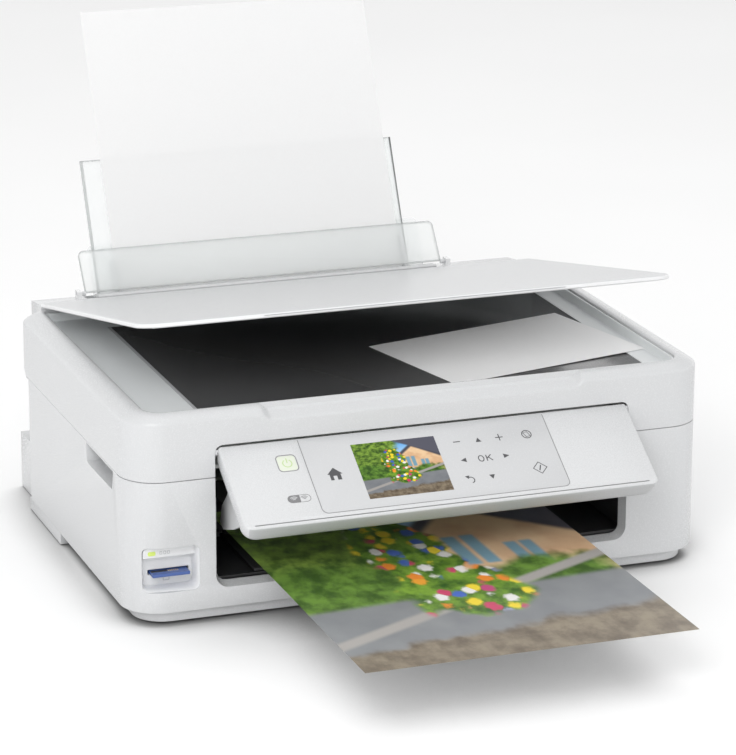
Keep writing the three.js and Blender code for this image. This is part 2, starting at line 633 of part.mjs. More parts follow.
function addLid() {
  const lid = pivotGroup(LID_PIVOT, -LID.open);
  const plan = roundedRect(-LID.halfWidth, LID.halfWidth, -LID.length, 2.2, 18, 4);
  const plate = slab(plan, LID.lift, LID.lift + LID.thickness);
  const knuckles = [-140.1, 119.9].map((x) => rod('x', x, x + 20.2, 0, 0, 2.4, 16));
  const webs = [-140.1, 119.9].map((x) => box(x, x + 20.2, -2.2, 2, 0, LID.lift + 1));
  const pins = [
    rod('x', -143.4, -116.6, 0, 0, 1.5, 12),
    rod('x', 116.6, 143.4, 0, 0, 1.5, 12),
  ];
  const lip = box(-102, 102, -LID.length - 0.8, -LID.length + 3, LID.lift - 1.2, LID.lift + 1);
  const lidBody = build([plate, ...knuckles, ...webs, ...pins, lip]);
  const earRelief = [];
  for (const x of [-143.8, -119.8, 116.2, 140.2]) {
    earRelief.push(box(x, x + 3.6, -8.4, 5, -1, 3.4));
  }
  const cleared = build([lidBody], earRelief);
  piece('lid_cover', build([cleared, ...pins]), WHITE, lid);
  const padSide = outline([
    [-244, LID.lift - GAP], [-244, 1.1], [-170, -5.1], [-30, -5.1], [-30, LID.lift - GAP],
  ]);
  piece('lid_pad', sweepX(padSide, -150, 168), PAD_WHITE, lid);
}

// ---- Control panel ---------------------------------------------------------------------

// In the panel's group the face looks along -Y, and v is measured down the face from its top.
function panelZ(v) {
  return PANEL.top - v;
}

function addPanel() {
  const panel = pivotGroup(PANEL_PIVOT, -PANEL.tilt);
  const faceY = -PANEL.face;
  const backY = faceY + PANEL.thickness;
  const skinY = faceY + 3.5;
  const bottomZ = panelZ(PANEL.length);
  const plan = roundedRect(-PANEL.halfWidth, PANEL.halfWidth, bottomZ, panelZ(0), 7, 1.5);
  const topEdge = sweepX(outline([
    [backY - 2, panelZ(0) + 1], [backY + 1, panelZ(0) + 1], [backY + 1, panelZ(2) - 1],
  ]), -140, 140);
  const hollow = box(-134.6, 134.6, skinY, backY + 1, panelZ(64.4), panelZ(4));
  const body = build([sweepY(plan, faceY, backY, 5)], [hollow, topEdge]);
  const faceRecess = box(-134.8, 134.8, faceY - 1, faceY + 1.6, panelZ(62.3), panelZ(1.2));
  const keyHoles = KEYS.map(({ x, v }) => keyBox(x, v, KEY.size / 2 + 0.4, faceY, 10));
  const powerHole = keyBox(POWER_KEY.x, POWER_KEY.v, KEY.powerSize / 2 + 0.4, faceY, 10);
  const lcdHole = box(LCD.x0 - 0.3, LCD.x1 + 0.3, faceY - 1, skinY + 1,
    panelZ(LCD.v1 + 0.3), panelZ(LCD.v0 - 0.3));
  const bores = [
    rod('x', 134.8, 140, 0, 0, 1.4, 12),
    rod('x', -140, -134.8, 0, 0, 1.4, 12),
  ];
  piece('panel_shell', build([body], [faceRecess, ...keyHoles, powerHole, lcdHole, ...bores]),
    WHITE, panel);

  const face = roundedRect(-134.5, 134.5, panelZ(62), panelZ(1.5), 3, 2);
  const powerWindow = keyBox(POWER_KEY.x, POWER_KEY.v, KEY.powerSize / 2 + 0.3, faceY - 1, 5);
  piece('panel_face', build([sweepY(face, faceY, faceY + 1.2, 3)], [powerWindow, lcdHole]),
    WHITE, panel);
  piece('lcd_screen', box(LCD.x0, LCD.x1, faceY + 0.2, faceY + 3.2, panelZ(LCD.v1), panelZ(LCD.v0)),
    BLACK, panel);
  for (const { name, x, v } of KEYS) {
    piece(name, keyBox(x, v, KEY.size / 2, faceY + 1.6, KEY.depth), DARK_GREY, panel);
  }
  piece('power_key', keyBox(POWER_KEY.x, POWER_KEY.v, KEY.powerSize / 2, faceY, KEY.depth), GREEN_TINT, panel);
}

// A square block on the face at x and v, from its front face at y to the given depth.
function keyBox(x, v, half, y, depth) {
  return box(x - half, x + half, y, y + depth, panelZ(v + half), panelZ(v - half));
}

addBasePan();
addLowerHousing();
addOutputLiner();
addRearHousing();
addChassis();
addPlaten();
addRollers();
addFeedDrive();
addCarriageDrive();
addCarriage();
addBaseFittings();
addOutputTray();
addSheets();
addFeedParts();
addScanner();
addLid();
addPanel();

// The feed sheet's top is the rearmost point, the printed sheet's end the foremost one.
const rearmostY = FEED_FOOT.y + A4.length * Math.sin(radians(FEED_TILT))
  + (SHEET_T / 2) * Math.cos(radians(FEED_TILT));
printer.position.y = -(rearmostY + OUTPUT_SHEET_FRONT) / 2;

export default printer;
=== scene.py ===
"""Looks of the inkjet printer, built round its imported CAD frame.

Shapes are written in millimetres about the middle of the housing, as in the CAD source: +X to the
right seen from the front, the front faces -Y, +Z up. ROW turns them into row-frame metres.
"""

import math

import bmesh
import bpy
from mathutils import Matrix, Vector


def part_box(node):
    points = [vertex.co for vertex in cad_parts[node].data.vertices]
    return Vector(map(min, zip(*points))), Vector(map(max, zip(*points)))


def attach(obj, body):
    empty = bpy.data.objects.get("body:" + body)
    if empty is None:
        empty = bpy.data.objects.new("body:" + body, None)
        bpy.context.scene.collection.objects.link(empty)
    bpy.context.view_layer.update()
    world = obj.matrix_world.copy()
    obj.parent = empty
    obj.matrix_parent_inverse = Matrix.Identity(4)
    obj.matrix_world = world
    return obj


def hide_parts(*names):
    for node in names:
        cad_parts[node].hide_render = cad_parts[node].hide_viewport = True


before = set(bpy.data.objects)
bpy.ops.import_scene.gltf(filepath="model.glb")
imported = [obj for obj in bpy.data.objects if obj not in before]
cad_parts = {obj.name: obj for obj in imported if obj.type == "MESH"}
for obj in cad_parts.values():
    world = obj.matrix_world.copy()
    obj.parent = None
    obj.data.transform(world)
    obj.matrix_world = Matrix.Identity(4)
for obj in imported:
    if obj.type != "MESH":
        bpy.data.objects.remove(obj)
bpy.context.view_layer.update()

# ---- Driving dimensions, in millimetres ----

MM = 0.001
HALF_WIDTH = 195
FRONT_Y = -125
SHELL_BACK_Y = 125
SEAM_Z = 95.3
OPENING_HALF = 139.4
OPENING_TOP = 115.7
GLASS_Z = 130

PANEL_PIVOT = (-123.9, 111.7)
PANEL_TILT = 57.5
PANEL_HALF = 137.3
PANEL_TOP = 1.2
PANEL_FACE = -2.6
LID_PIVOT = (138.5, 136.5)
LID_OPEN = 11.7
FEED_FOOT = (126.4, 48)
FEED_TILT = 25.24
PATH_X = -12
GUARD_PIVOT = (159, 139.6)
GUARD_LEAN = 37

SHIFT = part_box("lower_housing")[0].y / MM - FRONT_Y
ROW = Matrix.Scale(MM, 4) @ Matrix.Translation((0, SHIFT, 0))


def pivot(at, lean, x=0):
    """Local frame on a pivot line at (y, z), leaning back by an angle in degrees."""
    return Matrix.Translation((x, at[0], at[1])) @ Matrix.Rotation(math.radians(-lean), 4, "X")


PANEL = pivot(PANEL_PIVOT, PANEL_TILT)
LID = pivot(LID_PIVOT, LID_OPEN)
FEED = pivot(FEED_FOOT, FEED_TILT, PATH_X)
GUARD = pivot(GUARD_PIVOT, GUARD_LEAN)

# ---- Shader helpers ----


class Nodes:
    """A material's node tree, with short calls for the nodes used here."""

    def __init__(self, name):
        self.material = bpy.data.materials.new(name)
        self.material.use_nodes = True
        self.tree = self.material.node_tree
        self.tree.nodes.clear()
        self.output = self.add("ShaderNodeOutputMaterial")

    def add(self, kind, **settings):
        node = self.tree.nodes.new(kind)
        for key, value in settings.items():
            setattr(node, key, value)
        return node

    def link(self, source, target):
        self.tree.links.new(source, target)

    def put(self, socket, value):
        """A link, a number, or a colour given as red, green and blue."""
        if isinstance(value, bpy.types.NodeSocket):
            self.link(value, socket)
        elif isinstance(value, tuple):
            socket.default_value = (*value, 1)
        elif value is not None:
            socket.default_value = value

    def math(self, operation, a, b=None, c=None):
        node = self.add("ShaderNodeMath", operation=operation)
        for socket, value in zip(node.inputs, (a, b, c)):
            self.put(socket, value)
        return node.outputs[0]

    def ramp(self, value, low, high, out_low=0.0, out_high=1.0):
        """Smooth step from out_low at low to out_high at high."""
        node = self.add("ShaderNodeMapRange", interpolation_type="SMOOTHSTEP")
        for socket, number in zip(node.inputs, (value, low, high, out_low, out_high)):
            self.put(socket, number)
        return node.outputs[0]

    def mix(self, factor, a, b):
        node = self.add("ShaderNodeMix", data_type="RGBA")
        self.put(node.inputs["Factor"], factor)
        self.put(node.inputs[6], a)
        self.put(node.inputs[7], b)
        return node.outputs[2]

    def mottled(self, pattern, low, high, colour, darker):
        """The colour, times a factor under 1 where the pattern is low."""
        return self.mix(self.ramp(pattern, low, high), tuple(c * darker for c in colour), colour)

    def blend(self, factor, a, b):
        """Shader a with a share of shader b."""
        node = self.add("ShaderNodeMixShader")
        for socket, value in zip(node.inputs, (factor, a, b)):
            self.put(socket, value)
        return node.outputs[0]

    def translucent(self, tone):
        node = self.add("ShaderNodeBsdfTranslucent")
        self.put(node.inputs["Color"], tone)
        return node.outputs[0]

    def noise(self, scale, detail=2.0, vector=None, roughness=0.5):
        node = self.add("ShaderNodeTexNoise")
        self.put(node.inputs["Vector"], vector or self.position())
        node.inputs["Scale"].default_value = scale
        node.inputs["Detail"].default_value = detail
        node.inputs["Roughness"].default_value = roughness
        return node.outputs["Fac"]

    def position(self):
        return self.add("ShaderNodeTexCoord").outputs["Object"]

    def bump(self, height, strength, distance):
        node = self.add("ShaderNodeBump")
        node.inputs["Strength"].default_value = strength
        node.inputs["Distance"].default_value = distance
        self.link(height, node.inputs["Height"])
        return node.outputs["Normal"]

    def principled(self, **inputs):
        node = self.add("ShaderNodeBsdfPrincipled")
        for key, value in inputs.items():
            self.put(node.inputs[key.replace("_", " ")], value)
        return node.outputs[0]

    def finish(self, shader):
        self.link(shader, self.output.inputs["Surface"])
        return self.material


def grey(value):
    return (value, value, value)


def moulded(name, colour, roughness, grain=1800.0, depth=0.00002, drift=0.02, **extra):
    """Moulded plastic: fine grain in bump and gloss, and a slow drift of tone."""
    n = Nodes(name)
    fine = n.noise(grain, 2.0)
    slow = n.noise(9.0, 2.0)
    tone = n.ramp(slow, 0.3, 0.7, 1.0 - drift, 1.0)
    shade = n.add("ShaderNodeVectorMath", operation="SCALE")
    shade.inputs[0].default_value = colour
    n.link(tone, shade.inputs["Scale"])
    gloss = n.ramp(fine, 0.3, 0.7, roughness - 0.03, roughness + 0.04)
    return n.finish(n.principled(
        Base_Color=shade.outputs[0], Roughness=gloss, Normal=n.bump(fine, 0.25, depth), **extra))


def brushed(name, colour, roughness):
    """Rolled steel sheet with fine lines along X."""
    n = Nodes(name)
    stretch = n.add("ShaderNodeMapping")
    stretch.inputs["Scale"].default_value = (20.0, 900.0, 900.0)
    n.link(n.position(), stretch.inputs["Vector"])
    lines = n.noise(1.0, 3.0, stretch.outputs[0])
    tone = n.mottled(lines, 0.3, 0.7, colour, 0.85)
    gloss = n.ramp(lines, 0.2, 0.8, roughness - 0.06, roughness + 0.08)
    return n.finish(n.principled(
        Base_Color=tone, Metallic=1.0, Roughness=gloss, Normal=n.bump(lines, 0.2, 0.00003)))


def paper(name, colour, translucent=0.3):
    """Uncoated sheet: faint fibres in tone and bump, and a little light from behind."""
    n = Nodes(name)
    fibres = n.noise(700.0, 4.0, roughness=0.65)
    tone = n.mottled(fibres, 0.25, 0.75, colour, 0.985)
    front = n.principled(Base_Color=tone, Roughness=0.75, Normal=n.bump(fibres, 0.15, 0.00002))
    return n.finish(n.blend(translucent, front, n.translucent(tone)))


def frosted(name, colour, body):
    """Milky clear plastic: a white share, given as body, mixed with a see-through share."""
    n = Nodes(name)
    cloud = n.noise(8.0, 1.0)
    fine = n.noise(1500.0, 1.0)
    tone = n.mottled(cloud, 0.3, 0.7, colour, 0.97)
    front = n.principled(Base_Color=tone, Roughness=n.ramp(fine, 0.3, 0.7, 0.35, 0.43))
    milky = n.blend(0.5, front, n.translucent(tone))
    clear = n.add("ShaderNodeBsdfTransparent")
    clear.inputs["Color"].default_value = (0.985, 0.99, 0.99, 1)
    share = n.ramp(cloud, 0.2, 0.8, body - 0.01, body + 0.01)
    return n.finish(n.blend(share, clear.outputs[0], milky))


WHITE = moulded("white_moulding", (0.60, 0.607, 0.615), 0.25, depth=0.000008, drift=0.012)
# Painted shade: a darker copy of the white moulding, for the lid's top and the rear strip.
SHADED_LID_WHITE = moulded("lid_white_painted_shade", (0.56, 0.566, 0.574), 0.30, depth=0.000008)
# Painted highlight: a lighter copy of the white moulding, for the lid's edges and the guard's ears.
PAINTED_HIGHLIGHT_WHITE = moulded("painted_highlight_white", (0.76, 0.765, 0.77), 0.28)
# Painted light: a lighter copy of the white moulding, for the card bay's walls and the reader's face in
# the shade of the ledge.
BAY_PAINTED_LIGHT = moulded("bay_white_painted_light", (0.74, 0.747, 0.755), 0.30)
# Painted shade: a darker copy of the white moulding, for the lower end face of the panel.
PANEL_LIP_SHADE = moulded("panel_lip_painted_shade", (0.46, 0.465, 0.472), 0.30)
WHITE_DIM = moulded("white_moulding_dim", (0.58, 0.585, 0.59), 0.42)
PANEL_WHITE = moulded("panel_white", (0.62, 0.627, 0.635), 0.27, depth=0.000008)
PANEL_GREY = moulded("panel_film", (0.565, 0.571, 0.58), 0.24, depth=0.000004, drift=0.01)
INK_GREY = moulded("printed_marks", (0.07, 0.07, 0.075), 0.45, depth=0.000002)
PALE_MARK = moulded("pale_marks", (0.44, 0.45, 0.46), 0.4, depth=0.000002)
MARK_GREY = moulded("mark_grey", (0.20, 0.20, 0.205), 0.4, depth=0.000002)
# Painted shade for the floor of the panel's groove.
GAP_SHADOW_GREY = moulded("gap_shadow", (0.16, 0.16, 0.165), 0.6)
TRAY_GREY = moulded("tray_grey", (0.79, 0.815, 0.82), 0.36)
BLACK = moulded("black_moulding", (0.014, 0.014, 0.015), 0.5)
DARK = moulded("dark_moulding", (0.05, 0.05, 0.054), 0.5)
RUBBER = moulded("rubber", (0.03, 0.03, 0.031), 0.85, grain=900.0)
BOARD = moulded("circuit_board", (0.02, 0.16, 0.07), 0.45)
STEEL = brushed("zinc_steel", (0.56, 0.57, 0.58), 0.34)
CARD = moulded("card_blue", (0.065, 0.12, 0.34), 0.38, depth=0.000008)
GOLD = brushed("contact_gold", (0.80, 0.60, 0.28), 0.3)
GLASS = moulded("document_glass", (0.050, 0.050, 0.051), 0.14, depth=0.0, drift=0.1,
                Specular_IOR_Level=0.25)
PAD = moulded("pad_film", (0.84, 0.84, 0.84), 0.6, grain=600.0, depth=0.00004)
PAPER = paper("paper", (0.88, 0.88, 0.88))
PRINT_BACK = paper("print_back", (0.93, 0.93, 0.93), 0.0)
CLEAR = frosted("frosted_clear", (0.97, 0.98, 0.975), 0.30)
# Painted shade: a greyer clear for the edges of the clear plates.
CLEAR_EDGE_SHADE = frosted("clear_edge_shade", (0.60, 0.615, 0.61), 0.55)
SUPPORT = frosted("support_clear", (0.93, 0.94, 0.94), 0.34)
KEY_GREEN = moulded("key_green", (0.69, 0.73, 0.62), 0.35)
MARK_GREEN = moulded("mark_green", (0.48, 0.63, 0.28), 0.4)
INKS = {
    "black": moulded("ink_black", (0.02, 0.02, 0.02), 0.3),
    "cyan": moulded("ink_cyan", (0.03, 0.35, 0.62), 0.3),
    "magenta": moulded("ink_magenta", (0.58, 0.04, 0.22), 0.3),
    "yellow": moulded("ink_yellow", (0.80, 0.60, 0.04), 0.3),
}


def lamp_green():
    """Lens of the access lamp, glowing a little."""
    n = Nodes("lamp_green")
    spot = n.ramp(n.noise(300.0, 1.0), 0.3, 0.7, 0.10, 0.20)
    return n.finish(n.principled(
        Base_Color=(0.50, 0.62, 0.14), Roughness=0.3, Emission_Color=(0.6, 0.75, 0.15),
        Emission_Strength=spot))


LAMP = lamp_green()

# ---- Shape helpers ----


def arc(cx, cy, radius, start, end, steps):
    """Points on an arc; angles in degrees."""
    angles = [math.radians(start + (end - start) * i / steps) for i in range(steps + 1)]
    return [(cx + radius * math.cos(a), cy + radius * math.sin(a)) for a in angles]


def rounded(x0, x1, y0, y1, low, high, steps=6):
    """Rounded rectangle, anticlockwise from the lower left, with its own low-Y and high-Y radius."""
    return [
        *arc(x0 + low, y0 + low, low, 180, 270, steps),
        *arc(x1 - low, y0 + low, low, 270, 360, steps),
        *arc(x1 - high, y1 - high, high, 0, 90, steps),
        *arc(x0 + high, y1 - high, high, 90, 180, steps),
    ]


AXES = {
    "xy": lambda a, b, c: (a, b, c),
    "xz": lambda a, b, c: (a, c, b),
    "yz": lambda a, b, c: (c, a, b),
}


BEVEL_ANGLE = math.radians(28)   # edges that turn by more than this are bevelled


def closed(bm):
    """The same skin with its normals turned outward."""
    bmesh.ops.recalc_face_normals(bm, faces=bm.faces)
    return bm


def bevelled(bm, width, segments=2):
    """The same solid with its sharp edges rounded."""
    edges = [e for e in bm.edges if len(e.link_faces) == 2 and e.calc_face_angle() > BEVEL_ANGLE]
    bmesh.ops.bevel(bm, geom=edges, offset=width, segments=segments, profile=0.5, affect="EDGES",
                    clamp_overlap=True)
    return bm


def prism(points, low, high, plane="xy", bevel=0.0, segments=2):
    """A closed prism of an outline in one plane, from low to high across it."""
    put = AXES[plane]
    bm = bmesh.new()
    first = [bm.verts.new(put(a, b, low)) for a, b in points]
    second = [bm.verts.new(put(a, b, high)) for a, b in points]
    bm.faces.new(first)
    bm.faces.new(second)
    for i in range(len(points)):
        j = (i + 1) % len(points)
        bm.faces.new((first[i], first[j], second[j], second[i]))
    closed(bm)
    return bevelled(bm, bevel, segments) if bevel else bm


def box(x0, x1, y0, y1, z0, z1, bevel=0.3):
    return prism([(x0, y0), (x1, y0), (x1, y1), (x0, y1)], z0, z1, bevel=bevel)


def rod(plane, low, high, a, b, radius, bevel=0.2, sides=24):
    return prism(arc(a, b, radius, 0, 360 - 360 / sides, sides - 1), low, high, plane, bevel)


def loops(rings, cap_first=True, cap_last=True):
    """A closed skin over rings of points, each ring with the same number of points."""
    bm = bmesh.new()
    rows = [[bm.verts.new(p) for p in ring] for ring in rings]
    count = len(rings[0])
    for row, following in zip(rows, rows[1:]):
        for i in range(count):
            j = (i + 1) % count
            bm.faces.new((row[i], row[j], following[j], following[i]))
    if cap_first:
        bm.faces.new(rows[0])
    if cap_last:
        bm.faces.new(rows[-1])
    if not cap_first and not cap_last:
        for i in range(count):
            j = (i + 1) % count
            bm.faces.new((rows[-1][i], rows[-1][j], rows[0][j], rows[0][i]))
    return closed(bm)


def merged(shells):
    """All shells in one; each is used up."""
    mesh = bpy.data.meshes.new("shells")
    whole = bmesh.new()
    for shell in shells:
        shell.to_mesh(mesh)
        shell.free()
        whole.from_mesh(mesh)
    bpy.data.meshes.remove(mesh)
    return whole


def smooth(mesh, angle=32):
    mesh.shade_smooth()
    mesh.set_sharp_from_angle(angle=math.radians(angle))


def in_row_frame(name, shells, at):
    """One mesh of the given shells, in the row frame."""
    bm = merged(shells)
    mesh = bpy.data.meshes.new(name)
    bm.to_mesh(mesh)
    bm.free()
    mesh.transform(ROW @ at if at is not None else ROW)
    return mesh


def placed(name, data):
    """A new object of the data, in the scene."""
    obj = bpy.data.objects.new(name, data)
    bpy.context.scene.collection.objects.link(obj)
    return obj


def make(name, shells, material, body, replaces=(), at=None, sharp=32):
    """One object of the given shells, placed in the row frame and riding on its body."""
    mesh = in_row_frame(name, shells if isinstance(shells, list) else [shells], at)
    mesh.materials.append(material)
    smooth(mesh, sharp)
    obj = placed(name, mesh)
    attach(obj, body)
    if replaces:
        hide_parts(*replaces)
    return obj


def cut(obj, shells, at=None):
    """Takes the shells out of the object's mesh."""
    mesh = in_row_frame("cutter", shells, at)
    cutter = placed("cutter", mesh)
    modifier = obj.modifiers.new("cut", "BOOLEAN")
    modifier.operation = "DIFFERENCE"
    modifier.solver = "EXACT"
    modifier.object = cutter
    bpy.context.view_layer.update()
    graph = bpy.context.evaluated_depsgraph_get()
    result = bpy.data.meshes.new_from_object(obj.evaluated_get(graph))
    obj.modifiers.clear()
    old = obj.data
    obj.data = result
    bpy.data.meshes.remove(old)
    bpy.data.objects.remove(cutter)
    bpy.data.meshes.remove(mesh)
    smooth(obj.data)


def paint(obj, material, at, axis, low, high):
    """A second material on the faces that look along an axis of the local frame, within limits."""
    obj.data.materials.append(material)
    along = ((ROW @ at).to_3x3() @ Vector(axis)).normalized()
    for face in obj.data.polygons:
        if low <= face.normal.dot(along) <= high:
            face.material_index = len(obj.data.materials) - 1


def keep(node, material, bevel=0.35, segments=2):
    """A CAD node that stays: its new material, and its edges softened by modifiers."""
    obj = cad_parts[node]
    obj.data.materials.clear()
    obj.data.materials.append(material)
    smooth(obj.data)
    weld = obj.modifiers.new("weld", "WELD")
    weld.merge_threshold = 0.00001
    flat = obj.modifiers.new("flat", "DECIMATE")
    flat.decimate_type = "DISSOLVE"
    flat.angle_limit = math.radians(0.6)
    soften = obj.modifiers.new("soften", "BEVEL")
    soften.width = bevel * MM
    soften.segments = segments
    soften.limit_method = "ANGLE"
    soften.angle_limit = BEVEL_ANGLE
    soften.harden_normals = True
    return obj


# ---- Scanner unit ----

CORNER_RISE = 8.5                # how far the lower edge climbs round the rear corners
CORNER_RUN = 9.0                 # depth over which it climbs
ARCH_RADIUS = 5                  # corners of the arch over the control panel
HINGE_EARS = (-143.5, -119.5, 116.5, 140.5)
NOTCH = (102.0, 109.0)           # half width of the finger notch, and where its ends run out
NOTCH_FLOOR = (128.6, 133.8)     # height of its floor at the front face and at its back
# Section of the frame: share of the way from the outer to the inner outline, and height.
RIM_SECTION = [
    (0.015, SEAM_Z), (0.0, SEAM_Z + 0.2), (0.0, 131.2), (0.012, 132.1), (0.04, 132.8), (0.09, 133.5),
    (0.2, 134.7), (0.36, 136.0), (0.52, 137.0), (0.66, 137.6), (0.8, 137.9), (0.83, 137.93),
    (0.92, 137.8), (0.975, 137.3), (1.0, 136.5), (0.995, 135.7), (0.9, 135.2), (0.2, 128.5),
    (0.17, 127.5), (0.17, SEAM_Z + 0.5), (0.14, SEAM_Z),
]


def rim_height(share, z, x, y, on_front):
    """Sinks the finger notch into the front rim and shapes the lower edge of the wall: an arch over
    the control panel, and a slant at the rear corners."""
    if not on_front:
        slant = max(0.0, min(1.0, (y - SHELL_BACK_Y) / CORNER_RUN))
        return z + CORNER_RISE * slant if z < SEAM_Z + 2 else z
    t = min(1.0, max(0.0, (NOTCH[1] - abs(x)) / (NOTCH[1] - NOTCH[0])))
    depth = t * t * (3 - 2 * t)
    if z > 128.6 and share < 0.81:
        floor = NOTCH_FLOOR[0] + (NOTCH_FLOOR[1] - NOTCH_FLOOR[0]) * share / 0.8
        floor -= 0.8 * max(0.0, 1.0 - share / 0.06) ** 2
        z += depth * (min(z, floor) - z)
    if z < SEAM_Z + 2 and abs(x) < OPENING_HALF:
        corner = max(0.0, abs(x) - (OPENING_HALF - ARCH_RADIUS))
        z += OPENING_TOP - ARCH_RADIUS + math.sqrt(ARCH_RADIUS ** 2 - corner * corner) - SEAM_Z
    return z


def scanner_frame():
    """The white frame round the glass, swept round two outlines with the section above."""
    # places along the front wall, closer together where the notch and the arch end
    xs = [0, 30, 60, 85, 97, 100]
    xs += [NOTCH[0] + (NOTCH[1] - NOTCH[0]) * i / 8 for i in range(9)]
    xs += [112, 124, 134.4, 135.6, 136.8, 137.8, 138.6, 139.1, 139.39, 139.42, 144, 155]
    front = [-x for x in reversed(xs[1:])] + xs
    outer, inner, flags = [], [], []
    for x in front:
        outer.append((x, FRONT_Y))
        inner.append((x, -115))
        flags.append(True)
    # centre and radius of each outer and inner corner, and the angle where it starts
    corners = [
        ((170, -100, 25), (167.5, -103, 12), 270),
        ((187, 128, 8), (176, 128, 3.5), 0),
        ((-187, 128, 8), (-176, 128, 3.5), 90),
        ((-170, -100, 25), (-167.5, -103, 12), 180),
    ]
    for outside, inside, start in corners:
        steps = 12 if outside[2] > 10 else 8
        outer += arc(*outside, start, start + 90, steps)
        inner += arc(*inside, start, start + 90, steps)
        flags += [False] * (steps + 1)
        # the side walls keep their lower edge level up to the rear corners
        if start in (270, 90):
            side = 1 if start == 270 else -1
            outer.append((side * HALF_WIDTH, SHELL_BACK_Y - 0.2))
            inner.append((side * 179.5, SHELL_BACK_Y - 0.2))
            flags.append(False)
    rings = []
    for (ox, oy), (ix, iy), on_front in zip(outer, inner, flags):
        ring = []
        for share, z in RIM_SECTION:
            height = rim_height(share, z, ox, oy, on_front)
            ring.append((ox + (ix - ox) * share, oy + (iy - oy) * share, height))
        rings.append(ring)
    shells = [loops(rings, False, False)]
    for x in HINGE_EARS:
        ear = [(131, 133), (140.8, 133), *arc(138.5, 136.5, 2.3, 0, 180, 8), (131, 137.4)]
        shells.append(prism(ear, x, x + 3, "yz", bevel=0.3))
    for side in (-1, 1):
        low, high = sorted((side * 151.5, side * 157.5))
        lug = [(134, 124.6), *arc(141, 129, 4.0, -90, 90, 8), (134, 133.2)]
        shells.append(prism(lug, low, high, "yz", bevel=0.3))
    make("scanner_frame", shells, WHITE, "scanner", ["scanner_bezel"])


def scanner_tray():
    """The grey bed round the glass, with the walls that rise to the rim."""
    steps = [
        (0.0, 126.0), (0.0, 135.9), (0.5, 136.1), (1.2, 135.9), (1.5, 135.3), (1.6, 131.0),
        (1.85, 130.35), (2.5, 130.05), (3.5, 130.0),
    ]
    rings = []
    for inset, z in steps:
        low, high = 12 - inset, max(3.5 - inset, 0.6)
        outline = rounded(-179.45 + inset, 179.45 - inset, -114.9 + inset, 131.4 - inset, low, high, 8)
        rings.append([(x, y, z) for x, y in outline])
    bed = make("scanner_bed", loops(rings), TRAY_GREY, "scanner", ["scanner_tray"])
    cut(bed, [box(-142.6, 163.5, -112, 105, 120, 131, 0)])
    floor = box(-178, 178, -113.5, 130, 97, 99.6, 0.5)
    walls = [
        box(-178, -175.5, -113.5, 130, 99, 125.8, 0.4),
        box(175.5, 178, -113.5, 130, 99, 125.8, 0.4),
        box(-178, 178, 127.5, 130, 99, 125.8, 0.4),
        box(-176, 176, -101, -99, 99, 125.8, 0.4),
    ]
    rack = box(-150, 176, 60, 64, 99, 103, 0.3)
    make("scanner_tray_tub", [floor, *walls, rack], TRAY_GREY, "scanner")
    strip = box(-142.6, -140.4, -112, 105, GLASS_Z + 0.02, GLASS_Z + 0.12, 0)
    make("glass_edge_strip", strip, PALE_MARK, "scanner")
    arrow = [
        prism([(171, -106), (175, -106), (175, -102)], GLASS_Z, GLASS_Z + 0.2),
        box(166.5, 169.5, -108, -107, GLASS_Z, GLASS_Z + 0.2, 0),
    ]
    make("corner_marks", arrow, PALE_MARK, "scanner")


scanner_frame()
scanner_tray()
keep("scanner_glass", GLASS, 0.15)
keep("scan_carriage", DARK)

# ---- Lid ----


LID_LIP = 102                    # half width of the finger lip
KNUCKLES = (-140.1, 119.9)       # left ends of the hinge knuckles, and their length
KNUCKLE_LENGTH = 20.2


def lid():
    """The lid with its rounded edge, the finger lip and the hinge knuckles."""
    edge = [
        (4.0, 1.8), (0.9, 1.8), (0.35, 1.95), (0.0, 2.5), (0.0, 3.5), (0.15, 4.1), (0.55, 4.5),
        (1.3, 4.75), (3.0, 4.85), (9.0, 4.95), (30.0, 5.1), (70.0, 5.2),
    ]
    rings = []
    for inset, z in edge:
        low, high = max(18 - inset, 1.0), max(4 - inset, 0.5)
        outline = rounded(-180 + inset, 180 - inset, -252 + inset, 2.2 - inset, low, high, 10)
        rings.append([(x, y, z) for x, y in outline])
    lip = [(-251.6, 3.6), (-252.6, 3.2), (-253.0, 2.2), (-252.6, 1.1), (-251.4, 0.6), (-249, 0.6),
           (-248, 2.2)]
    shells = [loops(rings), prism(lip, -LID_LIP, LID_LIP, "yz", bevel=0.25)]
    for x in KNUCKLES:
        shells.append(rod("yz", x, x + KNUCKLE_LENGTH, 0, 0, 2.4))
        shells.append(box(x, x + KNUCKLE_LENGTH, -2.2, 2, 0, 2.8))
    for x in KNUCKLES:
        shells.append(rod("yz", x - 3.3, x + KNUCKLE_LENGTH + 3.3, 0, 0, 1.5))
    # the lid takes the darker lid white, painted shade
    cover = make("lid_plate", shells, SHADED_LID_WHITE, "lid", ["lid_cover"], LID)
    reliefs = [box(x, x + 3.6, -8.4, 5, -1, 3.4, 0) for x in (-143.8, -119.8, 116.2, 140.2)]
    cut(cover, reliefs, LID)
    # painted highlight on the lid's edges: every face that does not look straight up
    paint(cover, PAINTED_HIGHLIGHT_WHITE, LID, (0, 0, 1), -0.2, 0.93)
    # A grey strip where the finger lip meets the lid's edge: a painted shadow line.
    seam = box(1 - LID_LIP, LID_LIP - 1, -252.7, -251.9, 3.3, 3.8, 0.1)
    make("lid_lip_shadow_line", seam, PALE_MARK, "lid", at=LID)


def lid_pad():
    """Foam mat; its front part tapers up to the lid, as in the CAD."""
    side = [(-244, 1.5), (-244, 1.15), (-170, -5.1), (-30, -5.1), (-30, 1.5)]
    mat = prism(side, -150, 168, "yz", 0.15)
    pad = make("lid_foam_pad", mat, PAD, "lid", ["lid_pad"], LID)


lid()
lid_pad()

# ---- Control panel ----


def panel_z(v):
    """Height in the panel's frame of a point v below its top edge."""
    return PANEL_TOP - v


